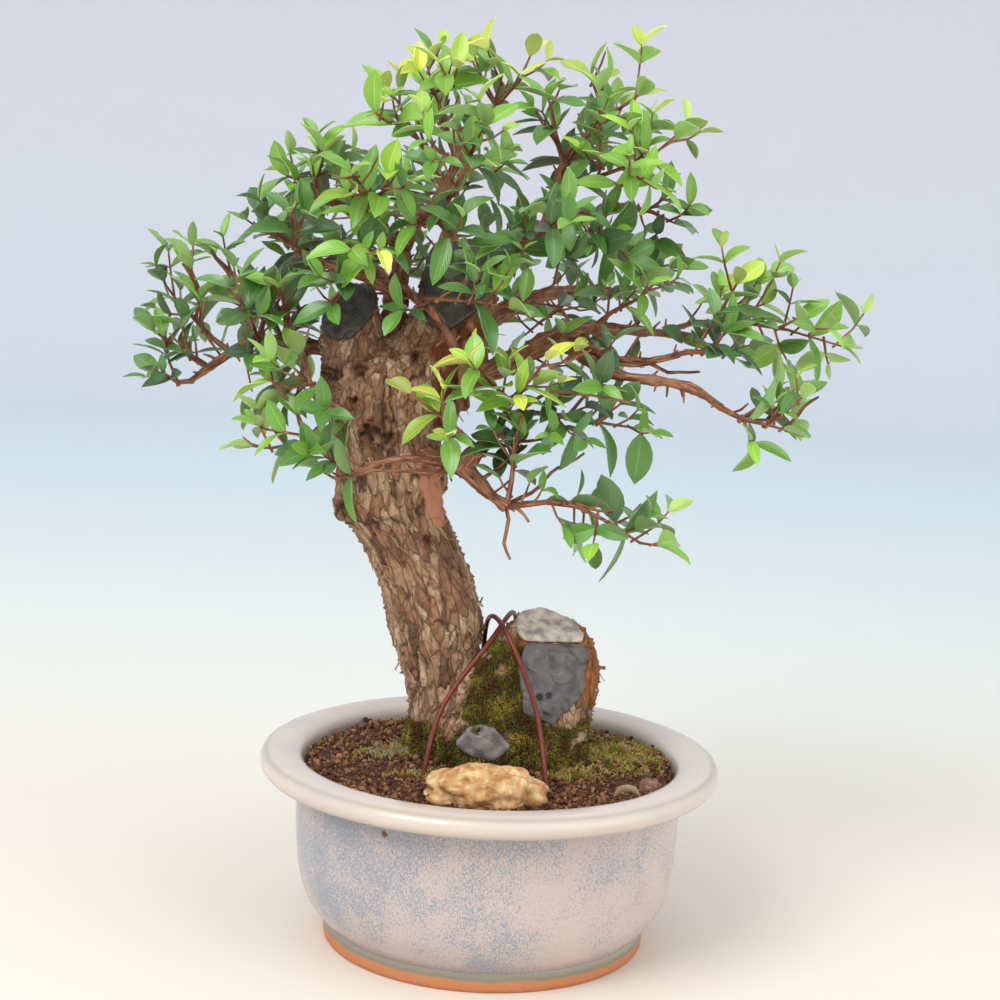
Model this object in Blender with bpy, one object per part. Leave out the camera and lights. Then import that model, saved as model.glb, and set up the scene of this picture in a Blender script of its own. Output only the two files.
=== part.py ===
"""Common myrtle bonsai in a round glazed pot: metres, Z up, the tree's front towards -Y.

The origin lies under the middle of the pot's foot, on the surface that the pot stands on.
"""

import math
import random

import bmesh
import bpy
from mathutils import Matrix, Vector, noise
from mathutils.bvhtree import BVHTree

MM = 0.001
FIT_GAP = 0.3  # millimetres between pieces that touch

# Pot, in millimetres
POT_RADIUS = 115
POT_HEIGHT = 96
LIP_OVERHANG = 18.5
LIP_THICKNESS = 11
WALL_THICKNESS = 6
FOOT_RADIUS = 80.5
FOOT_HEIGHT = 6
FOOT_RING_WIDTH = 8
FOOT_RECESS = 4
FLOOR_TOP = 11
POT_SIDES = 32
DRAIN_HOLE_RADIUS = 8
DRAIN_HOLE_OFFSET = 38
DRAIN_MESH_SIDE = 30
DRAIN_MESH_THICKNESS = 1
DRAIN_MESH_SQUARES = 5

# Soil, in millimetres
SOIL_EDGE_HEIGHT = 88
SOIL_CHAMFER = 5
SOIL_MOUNDS = [(4, 8, 46, 7), (58, 16, 26, 8), (-52, 24, 30, 2)]  # x, y, spread, rise
SOIL_RING_RADII = [80, 63, 46, 30, 15]
SOIL_SIDES = 24
SOIL_ROUGHNESS = 1.2
SOIL_GRAIN = 14

# The one viewpoint that the tree was drawn from
SIGHT_DISTANCE = 986  # millimetres from the eye to the target
SIGHT_TILT = math.radians(8.8)
SIGHT_ROLL = math.radians(-2.54)
SIGHT_TARGET = (-0.5, 0, 222.6)  # millimetres
SIGHT_FOCUS = 2000  # in points of the picture, which is 1000 points wide and high
PICTURE_MIDDLE = 500

# Thick wood: across and down in the picture, then depth, half width and half thickness in millimetres
TRUNK_SIDES = 14
BARK_ROUGHNESS = 1.5
BARK_BROAD_GRAIN = 22
BARK_FINE_GRAIN = 8
TRUNK = [
    (452, 806, 12, 25, 23),
    (450, 770, 12, 26, 24),
    (446, 740, 12, 21, 21),
    (443, 702, 11, 17.5, 20),
    (440, 662, 10, 19, 20),
    (436, 622, 9, 23, 22),
    (429, 590, 8, 22.5, 22),
    (418, 560, 7, 22, 22),
    (405, 530, 6, 22, 22),
    (396, 504, 5, 24.5, 24),
    (394, 480, 4, 26.5, 25),
    (389, 450, 3, 26, 25),
    (385, 420, 2, 27, 25),
    (384, 396, 2, 28.5, 26),
    (386, 374, 2, 30, 25),
    (388, 356, 2, 26, 20),
    (389, 346, 2, 17, 13),
]
LEFT_STUB = [
    (378, 410, 2, 20, 20),
    (367, 376, 2, 20, 20),
    (354, 345, 1, 16, 17),
    (351, 318, 0, 14, 16),
    (352, 280, 0, 13, 15),
]
RIGHT_STUB = [
    (400, 412, 2, 24, 23),
    (424, 376, 3, 24, 23),
    (444, 345, 6, 22, 21),
    (456, 312, 9, 20, 20),
    (460, 280, 11, 19, 18),
    (462, 240, 12, 17, 16),
]
STUMP = [
    (500, 812, 8, 38, 28),
    (504, 778, 6, 41, 31),
    (510, 742, 6, 40, 31),
    (522, 705, 8, 36, 29),
    (535, 676, 10, 32, 27),
    (540, 648, 12, 27, 24),
    (538, 626, 13, 19, 18),
    (536, 612, 14, 9, 9),
]
KNOB = (484, 738, -13, 22, 16, 17)  # across, down, depth, half width, half thickness, half height

# Saw cuts: the wood that is cut, and three points of the cut's plane, anticlockwise as seen from outside
CUTS = {
    "left_stub": ("left_stub", [(328, 333, -6), (371, 323, -12), (366, 290, 8)]),
    "right_stub": ("right_stub", [(420, 343, -17), (487, 320, -12), (466, 258, 14)]),
    "stump_top": ("stump", [(526, 646, -10), (588, 641, 6), (524, 612, 16)]),
    "stump_front": ("stump", [(566, 736, -17), (597, 672, 0), (533, 680, -13)]),
    "knob": ("knob", [(470, 750, -26), (494, 746, -26), (480, 712, -24)]),
}
FLAT_TOLERANCE = 0.01  # millimetres off a cut's plane at which a face still counts as sawn
SEAL_THICKNESS = 2
SEAL_INSET = 0.96  # share of the sawn face that the paste covers
SEAL_STEPS = ((0.65, 1.0), (0.35, 0.8))  # share of the thickness, then of the width below

# Bare branches: across and down in the picture, then depth and radius in millimetres
LIMB_SIDES = 5
LIMBS = {
    "right_mid": [
        (440, 374, 2, 8), (482, 371, -4, 6.6), (512, 361, -8, 5.8), (540, 346, -10, 5),
        (562, 333, -10, 4.2), (592, 328, -8, 3.3), (626, 330, -4, 2.7), (660, 333, 0, 2.2), (698, 336, 2, 1.8),
    ],
    "right_third": [(560, 334, -10, 2.8), (600, 353, -14, 2.2), (645, 361, -16, 1.8), (688, 352, -14, 1.5)],
    "right_low": [
        (556, 338, -10, 3.4), (598, 366, -22, 3), (632, 378, -26, 2.8),
        (668, 382, -28, 2.7), (698, 392, -30, 2.4), (722, 408, -32, 1.9),
    ],
    "low_right": [
        (420, 461, -10, 6.5), (448, 463, -22, 5), (466, 470, -27, 4.4), (486, 491, -29, 3.4), (507, 507, -31, 2.9),
    ],
    "low_right_up": [(462, 468, -25, 4), (478, 449, -28, 3.7), (494, 434, -28, 3.1), (503, 418, -27, 2.4)],
    "low_left": [(456, 466, -24, 2.2), (430, 461, -35, 2), (404, 458, -39, 1.8), (374, 464, -41, 1.5)],
    "crown_right": [
        (460, 345, 16, 9), (484, 292, 28, 6.5), (506, 256, 27, 5.6), (530, 239, 22, 4.8), (552, 221, 18, 4),
    ],
    "crown_right_up": [(550, 223, 18, 3.6), (558, 190, 14, 3), (564, 163, 10, 2.5), (582, 140, 8, 2)],
    "crown_right_out": [(550, 223, 18, 3.2), (592, 214, 22, 2.6), (628, 206, 26, 2.1)],
    "crown_left": [(390, 362, 10, 9), (396, 302, 12, 6), (400, 264, 10, 5), (398, 238, 8, 4)],
    "crown_left_out": [(398, 242, 8, 3.4), (370, 222, 3, 2.9), (342, 207, -2, 2.4), (318, 197, -6, 2)],
    "crown_mid": [
        (399, 252, 9, 3.8), (420, 217, 12, 3.3), (444, 190, 13, 2.8), (456, 158, 11, 2.4), (463, 130, 8, 2),
    ],
    "crown_front": [(419, 218, 11, 2.9), (438, 206, -14, 2.5), (454, 192, -34, 2)],
    "left_low": [
        (345, 353, 10, 5), (310, 346, 8, 4), (284, 341, 4, 3.4), (258, 341, 0, 3),
        (232, 353, -4, 2.5), (208, 368, -8, 2.1), (191, 381, -10, 1.7),
    ],
    "left_upper": [
        (397, 292, 10, 4), (377, 283, -6, 3.4), (352, 272, -12, 2.9), (326, 264, -13, 2.4), (302, 253, -13, 1.9),
    ],
    "left_mid": [(362, 419, -12, 2.4), (334, 406, -24, 2), (318, 401, -24, 1.6)],
    "front_climb": [
        (462, 406, -14, 2.8), (464, 372, -26, 2.6), (452, 343, -28, 2.4),
        (438, 318, -24, 2.2), (418, 300, -12, 2.2), (398, 282, 9, 2.4),
    ],
    "back_mid": [(428, 350, 18, 7), (436, 296, 42, 4.8), (442, 256, 62, 3.6), (448, 220, 74, 2.4)],
    "back_left": [(397, 304, 14, 4.6), (380, 275, 46, 3.6), (352, 262, 68, 2.4)],
    "back_right": [(470, 330, 24, 6.5), (528, 300, 50, 4.2), (575, 290, 66, 3), (620, 292, 76, 2)],
}

# Leafy sprays: the limb and the number of its point that each leaves from, how fresh its leaves are from
# 0, dark and old, to 1, pale and new, then its stems. A stem is the number of the point that it forks from
# on the first stem, and a route across and down in the picture with its depth in millimetres.
SPRAYS = {
    "left_tip": ("left_low", 6, 0.1, [(0, [(178, 382, -11), (166, 375, -13), (156, 371, -14)])]),
    "left_end": ("left_low", 5, 0.15, [(0, [(187, 354, -13), (166, 339, -15), (152, 330, -16)])]),
    "left_rise": ("left_low", 4, 0.45, [
        (0, [(206, 333, -8), (196, 319, -8), (200, 290, -10), (190, 266, -12)]),
        (2, [(180, 306, 0), (168, 296, 4)]),
    ]),
    "left_high": ("left_low", 3, 0.6, [(0, [(266, 313, 6), (246, 287, 8), (226, 266, 8), (213, 254, 8)])]),
    "left_fore": ("left_low", 3, 0.3, [(0, [(250, 320, -15), (240, 300, -24), (226, 286, -30)])]),
    "left_inner": ("left_low", 2, 0.35, [(0, [(288, 316, -8), (282, 298, -14), (270, 284, -18)])]),
    "left_rear": ("left_low", 2, 0.25, [(0, [(276, 328, 26), (256, 314, 44), (238, 304, 56)])]),
    "left_under": ("left_low", 1, 0.4, [(0, [(305, 364, 0), (297, 382, -6), (286, 392, -8)])]),
    "side_up": ("left_mid", 2, 0.7, [
        (0, [(311, 384, -26), (304, 364, -29), (298, 352, -30)]),
        (1, [(288, 388, -29), (268, 380, -30)]),
    ]),
    "side_out": ("left_mid", 1, 0.55, [(0, [(322, 424, -29), (304, 442, -32), (272, 448, -32), (250, 446, -32)])]),
    "low_left_tip": ("low_left", 3, 0.35, [(0, [(352, 474, -42), (334, 478, -43), (316, 468, -43)])]),
    "upper_left_tip": ("left_upper", 4, 0.35, [
        (0, [(290, 244, -13), (275, 230, -14)]),
        (1, [(298, 228, -26), (306, 212, -34)]),
    ]),
    "upper_left_low": ("left_upper", 2, 0.1, [(0, [(342, 290, -22), (332, 306, -28)])]),
    "upper_left_rear": ("left_upper", 3, 0.3, [(0, [(318, 262, 14), (300, 248, 34), (290, 236, 46)])]),
    "crown_left_top": ("crown_left_out", 3, 0.75, [
        (0, [(316, 182, -8), (318, 162, -10), (322, 148, -12)]),
        (1, [(300, 180, -9), (286, 176, -10)]),
    ]),
    "crown_left_fore": ("crown_left_out", 1, 0.6, [
        (0, [(370, 208, -20), (364, 190, -42), (352, 172, -54)]),
        (1, [(384, 190, -38), (388, 172, -48)]),
    ]),
    "crown_left_rear": ("crown_left_out", 2, 0.4, [(0, [(330, 198, 28), (314, 182, 52), (300, 172, 66)])]),
    "top_left": ("crown_mid", 2, 0.85, [
        (0, [(430, 158, 8), (410, 126, 4), (398, 102, 2), (386, 88, 0)]),
        (2, [(388, 122, -16), (374, 112, -22)]),
    ]),
    "top_peak": ("crown_mid", 3, 0.9, [
        (0, [(446, 124, 8), (434, 92, 6), (427, 64, 4)]),
        (2, [(452, 84, -8), (458, 66, -14)]),
    ]),
    "top_rear": ("crown_mid", 3, 0.6, [(0, [(448, 138, 30), (436, 112, 50), (430, 92, 60)])]),
    "crown_tip": ("crown_mid", 4, 0.9, [
        (0, [(496, 106, 8), (520, 80, 6), (531, 54, 4)]),
        (1, [(484, 88, 20), (486, 70, 24)]),
    ]),
    "front_top": ("crown_front", 2, 0.55, [
        (0, [(466, 166, -46), (476, 142, -56), (486, 124, -60)]),
        (1, [(440, 152, -56), (428, 140, -62)]),
    ]),
    "front_low": ("crown_front", 1, 0.35, [(0, [(440, 224, -32), (452, 238, -46), (470, 244, -54)])]),
    "front_left": ("crown_left", 2, 0.6, [(0, [(384, 256, -14), (366, 248, -34), (350, 250, -46)])]),
    "front_line": ("front_climb", 4, 0.5, [(0, [(440, 299, -34), (478, 302, -42), (512, 308, -46)])]),
    "front_right": ("crown_right", 3, 0.3, [
        (0, [(536, 236, -8), (552, 226, -32), (570, 212, -46)]),
        (1, [(522, 252, -28), (528, 268, -40)]),
    ]),
    "mid_top": ("crown_right_up", 2, 0.5, [(0, [(556, 136, -4), (552, 112, -12), (548, 96, -16)])]),
    "top_right": ("crown_right_up", 3, 0.8, [
        (0, [(604, 118, 6), (626, 104, 4), (641, 94, 2)]),
        (1, [(596, 92, 12), (590, 76, 14)]),
    ]),
    "right_top": ("crown_right_up", 1, 0.7, [
        (0, [(600, 176, 0), (640, 162, -10), (678, 138, -14)]),
        (1, [(620, 186, -18), (644, 178, -26)]),
    ]),
    "right_rear": ("crown_right_up", 2, 0.45, [(0, [(584, 150, 30), (604, 130, 50), (624, 122, 60)])]),
    "right_high": ("crown_right_out", 2, 0.3, [(0, [(652, 212, 24), (676, 224, 22)])]),
    "right_inner": ("crown_right_out", 1, 0.25, [(0, [(600, 234, -4), (620, 250, -18), (632, 262, -22)])]),
    "right_rise": ("right_mid", 5, 0.5, [(0, [(612, 312, -12), (640, 298, -16), (654, 284, -18)])]),
    "right_cluster": ("right_mid", 8, 0.75, [
        (0, [(716, 320, 0), (728, 298, -2), (738, 282, -4)]),
        (1, [(742, 312, 14), (764, 304, 18)]),
    ]),
    "right_tip": ("right_mid", 7, 0.65, [(0, [(696, 322, 14), (738, 322, 16), (788, 330, 14), (844, 347, 12)])]),
    "right_third_tip": ("right_third", 3, 0.2, [(0, [(712, 352, -16), (732, 356, -18)])]),
    "right_low_tip": ("right_low", 5, 0.45, [
        (0, [(742, 419, -34), (768, 425, -35), (786, 430, -36)]),
        (1, [(762, 404, -26), (776, 390, -22)]),
        (2, [(790, 408, -44), (804, 396, -48)]),
    ]),
    "centre_up": ("low_right_up", 3, 0.95, [
        (0, [(510, 400, -34), (532, 378, -40), (548, 358, -42)]),
        (1, [(490, 382, -40), (474, 362, -43)]),
    ]),
    "centre_right": ("low_right_up", 3, 0.3, [
        (0, [(526, 412, -22), (568, 416, -20), (608, 424, -20), (636, 428, -20)]),
        (2, [(584, 396, -26), (596, 386, -28)]),
    ]),
    "centre_drop": ("low_right", 4, 0.2, [(0, [(512, 478, -34), (514, 452, -36), (519, 430, -38)])]),
    "low_tip": ("low_right", 4, 0.5, [
        (0, [(546, 502, -33), (576, 506, -34), (604, 520, -35), (640, 543, -36), (660, 546, -36)]),
    ]),
    "trunk_front": ("low_right_up", 1, 0.95, [(0, [(456, 428, -42), (430, 408, -47), (408, 392, -49)])]),
    "rear": ("back_mid", 3, 0.5, [
        (0, [(446, 190, 80), (438, 164, 84)]),
        (1, [(476, 180, 84), (500, 168, 88)]),
        (1, [(420, 196, 88), (398, 190, 92)]),
    ]),
    "rear_left": ("back_left", 2, 0.4, [
        (0, [(334, 246, 80), (318, 228, 84), (300, 222, 86)]),
        (1, [(340, 268, 92), (330, 286, 98)]),
    ]),
    "rear_right": ("back_right", 3, 0.4, [
        (0, [(646, 282, 80), (672, 268, 82)]),
        (1, [(622, 258, 84), (598, 236, 86)]),
    ]),
    "rear_low": ("back_right", 2, 0.35, [
        (0, [(560, 308, 78), (540, 322, 86), (524, 336, 90)]),
        (1, [(576, 330, 90), (588, 348, 94)]),
    ]),
    "rear_top": ("back_mid", 2, 0.45, [
        (0, [(470, 252, 80), (500, 238, 90), (528, 230, 94)]),
        (1, [(456, 272, 92), (436, 284, 96)]),
    ]),
}

# Twigs and leaves, in millimetres
STEM_SIDES = 3
STEM_RADIUS = 1.6
SHOOT_RADIUS = 1.1
TIP_RADIUS = 0.8
SEAT_STEP = 0.25
SHOOT_LENGTH = 15
LONG_STEM = 60  # a stem longer than this has two side shoots
BEND_STEPS = (0, 5, -5, 10, -10, 15, -15)  # how far a stem is bent back or forward to clear another
LEAF_LENGTH = 23
LEAF_WIDTH_SHARE = 0.42
LEAF_THICKNESS = 1
LEAF_SPACING = 17
LEAF_TIP_INSET = 1.2  # how far the last pair of leaves sits from the end of its twig
LEAF_ROOT = 0.1  # how far a leaf's root is sunk past the middle of its twig
LEAF_CLEAR = 2.2  # how far from the middle of its twig a leaf has to be clear of all else
LEAF_STATIONS = ((0.36, 1.0, 1.0), (0.7, 0.76, 1.0))  # shares of the length, the width and the thickness
LEAF_SWINGS = (0, 28, -28, 56, -56)  # degrees that a leaf may be turned round its twig to clear others
MOST_PAIRS = 2

# Tie wire: across and down in the picture, then depth in millimetres
WIRE_RADIUS = 1.25
WIRE_SIDES = 6
WIRE_STEP = 7
WIRE_CLEARANCE = 0.8
INSIDE_LEAN = -0.5  # how squarely a point must lie behind the nearest surface to be taken as inside it
DEEPEST_INSIDE = 3  # and how near that surface must be
WIRES = {
    "left": [
        (420, 812, -36), (422, 781, -35), (430, 742, -28), (437, 716, -24), (456, 684, -18), (480, 655, -14),
        (497, 633, -9), (505, 620, -1), (510, 612, 10), (515, 611, 24), (518, 630, 38), (522, 690, 46),
        (524, 752, 46),
    ],
    "right": [
        (548, 820, -47), (547, 788, -46), (543, 760, -41), (541, 730, -33), (531, 692, -27), (518, 656, -20),
        (506, 630, -14), (497, 616, -2), (489, 614, 12), (484, 640, 32), (482, 700, 42), (482, 752, 44),
    ],
}
ROCK = (486, 792, -64, 28.5, 14, 13.5)  # across, down, depth, half width, half thickness, half height

# Base colour and roughness of each finish
FINISHES = {
    "glaze": ((0.62, 0.58, 0.60), 0.25),
    "soil": ((0.07, 0.03, 0.02), 0.95),
    "plastic": ((0.03, 0.03, 0.03), 0.6),
    "bark": ((0.36, 0.25, 0.16), 0.9),
    "paste": ((0.13, 0.13, 0.15), 0.6),
    "wire": ((0.26, 0.07, 0.05), 0.35),
    "stone": ((0.60, 0.42, 0.20), 0.75),
    "twig": ((0.24, 0.08, 0.04), 0.8),
    "old_leaf": ((0.04, 0.12, 0.05), 0.35),
    "grown_leaf": ((0.08, 0.25, 0.04), 0.4),
    "new_leaf": ((0.22, 0.45, 0.04), 0.45),
}


def seen(across, down, depth):
    """The point that shows at that place in the picture, depth millimetres behind the pot's middle."""
    ahead = Vector((0, math.cos(SIGHT_TILT), -math.sin(SIGHT_TILT)))
    level = Vector((1, 0, 0))
    upright = Vector((0, math.sin(SIGHT_TILT), math.cos(SIGHT_TILT)))
    right = math.cos(SIGHT_ROLL) * level - math.sin(SIGHT_ROLL) * upright
    top = math.sin(SIGHT_ROLL) * level + math.cos(SIGHT_ROLL) * upright
    eye = Vector(SIGHT_TARGET) - ahead * SIGHT_DISTANCE
    sight = ahead * SIGHT_FOCUS + right * (across - PICTURE_MIDDLE) + top * (PICTURE_MIDDLE - down)
    return (eye + sight * ((depth - eye.y) / sight.y)) * MM


# Scene, materials and objects


def clear_scene():
    for obj in list(bpy.data.objects):
        bpy.data.objects.remove(obj)


def material(finish):
    found = bpy.data.materials.get(finish)
    if found:
        return found
    colour, roughness = FINISHES[finish]
    made = bpy.data.materials.new(finish)
    made.use_nodes = True
    shader = made.node_tree.nodes["Principled BSDF"]
    shader.inputs["Base Color"].default_value = (*colour, 1)
    shader.inputs["Roughness"].default_value = roughness
    return made


def mesh_of(bm, name, finish):
    bmesh.ops.recalc_face_normals(bm, faces=bm.faces)
    mesh = bpy.data.meshes.new(name)
    bm.to_mesh(mesh)
    bm.free()
    mesh.materials.append(material(finish))
    return mesh


def node(name, mesh):
    """The mesh as a named piece of the model."""
    obj = bpy.data.objects.new(name, mesh)
    bpy.context.scene.collection.objects.link(obj)
    mesh.shade_smooth()
    mesh.set_sharp_from_angle(angle=math.radians(40))
    return obj


def cutter(name, bm, finish):
    """The shape as a tool that cuts others and isn't part of the model."""
    obj = bpy.data.objects.new(name, mesh_of(bm, name, finish))
    bpy.context.scene.collection.objects.link(obj)
    obj.hide_render = True
    obj.display_type = "WIRE"
    return obj


def cut(obj, cutters):
    for tool in cutters:
        boolean = obj.modifiers.new("Cut " + tool.name, "BOOLEAN")
        boolean.operation = "DIFFERENCE"
        boolean.object = tool


def fused(meshes, name):
    """One mesh, the union of closed meshes that cross each other."""
    pile = bpy.data.collections.new(name)
    bpy.context.scene.collection.children.link(pile)
    base = bpy.data.objects.new(name, meshes[0])
    bpy.context.scene.collection.objects.link(base)
    for mesh in meshes[1:]:
        pile.objects.link(bpy.data.objects.new(name, mesh))
    union = base.modifiers.new("Union", "BOOLEAN")
    union.operation = "UNION"
    union.operand_type = "COLLECTION"
    union.collection = pile
    union.solver = "MANIFOLD"
    union.material_mode = "TRANSFER"
    graph = bpy.context.evaluated_depsgraph_get()
    result = bpy.data.meshes.new_from_object(base.evaluated_get(graph))
    for obj in [base, *pile.objects]:
        bpy.data.objects.remove(obj)
    bpy.data.collections.remove(pile)
    return result


# Shapes


def ring_frames(points):
    """A frame at each point of a route: its Z runs along the route, and its X turns as little as it can."""
    steps = [(b - a).normalized() for a, b in zip(points, points[1:])]
    along = [steps[0], *[(a + b).normalized() for a, b in zip(steps, steps[1:])], steps[-1]]
    side = Vector((1, 0, 0)) if abs(along[0].x) < 0.9 else Vector((0, 1, 0))
    frames = []
    for direction, point in zip(along, points):
        side = (side - direction * side.dot(direction)).normalized()
        frame = Matrix((side, direction.cross(side), direction)).transposed().to_4x4()
        frame.translation = point
        frames.append(frame)
    return frames


def extruded(bm, faces, keep):
    """Extrudes the faces, and returns the new faces and corners. What it started from is kept if asked."""
    raised = bmesh.ops.extrude_face_region(bm, geom=faces)["geom"]
    if not keep:
        bmesh.ops.delete(bm, geom=faces, context="FACES_ONLY")
    corners = [part for part in raised if isinstance(part, bmesh.types.BMVert)]
    return [part for part in raised if isinstance(part, bmesh.types.BMFace)], corners


def bark_relief(point):
    """How far the bark stands out at a point: broad swellings with a finer roughness."""
    broad = noise.noise(point / (BARK_BROAD_GRAIN * MM))
    fine = noise.noise(point / (BARK_FINE_GRAIN * MM))
    return BARK_ROUGHNESS * MM * (1.2 * broad + 0.8 * fine)


def lengthened(points, growth):
    """The points of a route, with both ends moved outwards by the growth in millimetres."""
    start = points[0] + (points[0] - points[1]).normalized() * growth * MM
    end = points[-1] + (points[-1] - points[-2]).normalized() * growth * MM
    return [start, *points[1:-1], end]


def tube(points, widths, sides, relief=None):
    """A closed tube along the points, with a half width and a half thickness at each."""
    bm = bmesh.new()
    frames = ring_frames(points)
    places = [frame @ Matrix.Diagonal((*width, 1, 1)) for frame, width in zip(frames, widths)]
    bmesh.ops.create_circle(bm, cap_ends=True, segments=sides, radius=1, matrix=places[0])
    top = bm.faces[:]
    rings = [bm.verts[:]]
    for before, after in zip(places, places[1:]):
        top, ring = extruded(bm, top, keep=len(rings) == 1)
        bmesh.ops.transform(bm, matrix=after @ before.inverted(), verts=ring)
        rings.append(ring)
    if relief:
        for point, ring in zip(points, rings):
            for vert in ring:
                vert.co += (vert.co - point).normalized() * relief(vert.co)
    bmesh.ops.recalc_face_normals(bm, faces=bm.faces)
    return bm


def turned(profile, sides):
    """A solid turned round the Z axis from a profile of radius and height in millimetres."""
    bm = bmesh.new()
    corners = [bm.verts.new((radius * MM, 0, height * MM)) for radius, height in profile]
    edges = [bm.edges.new(pair) for pair in zip(corners, corners[1:])]
    bmesh.ops.spin(
        bm, geom=corners + edges, cent=(0, 0, 0), axis=(0, 0, 1), angle=math.tau, steps=sides, use_merge=True
    )
    bmesh.ops.remove_doubles(bm, verts=bm.verts, dist=1e-6)
    bmesh.ops.recalc_face_normals(bm, faces=bm.faces)
    return bm


def lump(place, detail, roughness, grain, growth=0):
    """A rough rounded lump at a place given across, down and in depth, with its three half sizes."""
    across, down, depth, *half = place
    bm = bmesh.new()
    bmesh.ops.create_icosphere(bm, subdivisions=detail, radius=1)
    centre = seen(across, down, depth)
    for vert in bm.verts:
        rough = 1 + roughness * noise.noise(vert.co * grain)
        size = Vector([(length * rough + growth) * MM for length in half])
        vert.co = centre + vert.co * size
    return bm


# Pot and drain meshes


def pot_profile():
    wall = POT_RADIUS - LIP_OVERHANG
    inside = wall - WALL_THICKNESS
    under_lip = POT_HEIGHT - LIP_THICKNESS - 2.5
    return [
        (0, FOOT_RECESS),
        (FOOT_RADIUS - FOOT_RING_WIDTH - 2, FOOT_RECESS),
        (FOOT_RADIUS - FOOT_RING_WIDTH, 0),
        (FOOT_RADIUS, 0),
        (FOOT_RADIUS + 0.5, FOOT_HEIGHT),
        (FOOT_RADIUS, FOOT_HEIGHT + 3),
        (wall - 9.5, 17),
        (wall - 4, 28),
        (wall - 0.8, 50),
        (wall, under_lip),
        (POT_RADIUS - 3, under_lip + 2.3),
        (POT_RADIUS, POT_HEIGHT - 6.5),
        (POT_RADIUS - 2.5, POT_HEIGHT - 1.8),
        (POT_RADIUS - 9, POT_HEIGHT),
        (wall - 1, POT_HEIGHT - 2),
        (inside + 3, POT_HEIGHT - 9),
        (inside - 0.5, 45),
        (inside - 6.5, 22),
        (inside - 20, FLOOR_TOP),
        (0, FLOOR_TOP),
    ]


def make_pot():
    pot = node("pot", mesh_of(turned(pot_profile(), POT_SIDES), "pot", "glaze"))
    drills = []
    for side in (-1, 1):
        bm = bmesh.new()
        radius = DRAIN_HOLE_RADIUS * MM
        bmesh.ops.create_cone(
            bm, cap_ends=True, segments=16, radius1=radius, radius2=radius, depth=3 * FLOOR_TOP * MM
        )
        bmesh.ops.translate(bm, vec=(side * DRAIN_HOLE_OFFSET * MM, 0, FLOOR_TOP / 2 * MM), verts=bm.verts)
        drills.append(cutter("drain_drill", bm, "glaze"))
    cut(pot, drills)


def drain_mesh(middle):
    """A square of plastic mesh, with every other square of a grid left open."""
    bm = bmesh.new()
    half = DRAIN_MESH_SIDE / 2 * MM
    square = 2 * half / DRAIN_MESH_SQUARES
    bmesh.ops.create_grid(bm, x_segments=DRAIN_MESH_SQUARES, y_segments=DRAIN_MESH_SQUARES, size=half)
    openings = []
    for face in bm.faces:
        place = face.calc_center_median()
        column = int((place.x + half) // square)
        row = int((place.y + half) // square)
        if column % 2 and row % 2:
            openings.append(face)
    bmesh.ops.delete(bm, geom=openings, context="FACES_ONLY")
    _, upper = extruded(bm, bm.faces[:], keep=True)
    bmesh.ops.translate(bm, vec=(0, 0, DRAIN_MESH_THICKNESS * MM), verts=upper)
    bmesh.ops.translate(bm, vec=middle, verts=bm.verts)
    return bm


def mesh_pocket(middle):
    """The space that a drain mesh takes up in the bottom of the soil."""
    bm = bmesh.new()
    side = (DRAIN_MESH_SIDE + 2 * FIT_GAP) * MM
    height = 2 * (DRAIN_MESH_THICKNESS + FIT_GAP) * MM
    bmesh.ops.create_cube(bm, size=1)
    bmesh.ops.scale(bm, vec=(side, side, height), verts=bm.verts)
    bmesh.ops.translate(bm, vec=middle, verts=bm.verts)
    return bm


def make_drain_meshes():
    pockets = []
    for name, side in (("drain_mesh_left", -1), ("drain_mesh_right", 1)):
        middle = Vector((side * DRAIN_HOLE_OFFSET, 0, FLOOR_TOP + FIT_GAP)) * MM
        node(name, mesh_of(drain_mesh(middle), name, "plastic"))
        pockets.append(cutter(name + "_pocket", mesh_pocket(middle), "plastic"))
    return pockets


# Soil and rock


def soil_height(x, y):
    height = SOIL_EDGE_HEIGHT
    for centre_x, centre_y, spread, rise in SOIL_MOUNDS:
        height += rise * math.exp(-((x - centre_x) ** 2 + (y - centre_y) ** 2) / spread**2)
    return height + SOIL_ROUGHNESS * noise.noise(Vector((x, y, 0)) / SOIL_GRAIN)


def make_soil(cutters):
    inside = POT_RADIUS - LIP_OVERHANG - WALL_THICKNESS
    skirt = [
        (0, FLOOR_TOP + FIT_GAP),
        (inside - 20.2, FLOOR_TOP + FIT_GAP),
        (inside - 7.1, 22.2),
        (inside - 1.1, 45),
        (inside + 1.8, SOIL_EDGE_HEIGHT - SOIL_CHAMFER),
    ]
    surface = [(radius, SOIL_EDGE_HEIGHT) for radius in (*SOIL_RING_RADII, 0)]
    bm = turned(skirt + surface, SOIL_SIDES)
    for vert in bm.verts:
        if vert.co.z > (SOIL_EDGE_HEIGHT - 1) * MM:
            vert.co.z = soil_height(vert.co.x / MM, vert.co.y / MM) * MM
    cut(node("soil", mesh_of(bm, "soil", "soil")), cutters)


def rock(growth=0):
    return lump(ROCK, detail=2, roughness=0.22, grain=2.4, growth=growth)


# Trunk, sawn faces and wound paste


def wood_column(stations, growth=0):
    """The rough tube of bark through a list of stations, larger all round by the growth."""
    points = lengthened([seen(across, down, depth) for across, down, depth, *_ in stations], growth)
    widths = [((wide + growth) * MM, (deep + growth) * MM) for *_, wide, deep in stations]
    bm = tube(points, widths, TRUNK_SIDES, bark_relief)
    # The bent faces are split the same way at every growth, so that a hole stays clear of what stands in it
    bmesh.ops.triangulate(bm, faces=bm.faces, quad_method="FIXED")
    return bm


def knob(growth=0):
    return lump(KNOB, detail=2, roughness=0.12, grain=1.6, growth=growth)


def saw_plane(marks):
    """A point on the plane of a saw cut, and the normal out of the wood."""
    a, b, c = (seen(*mark) for mark in marks)
    return a, (b - a).cross(c - a).normalized()


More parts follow.
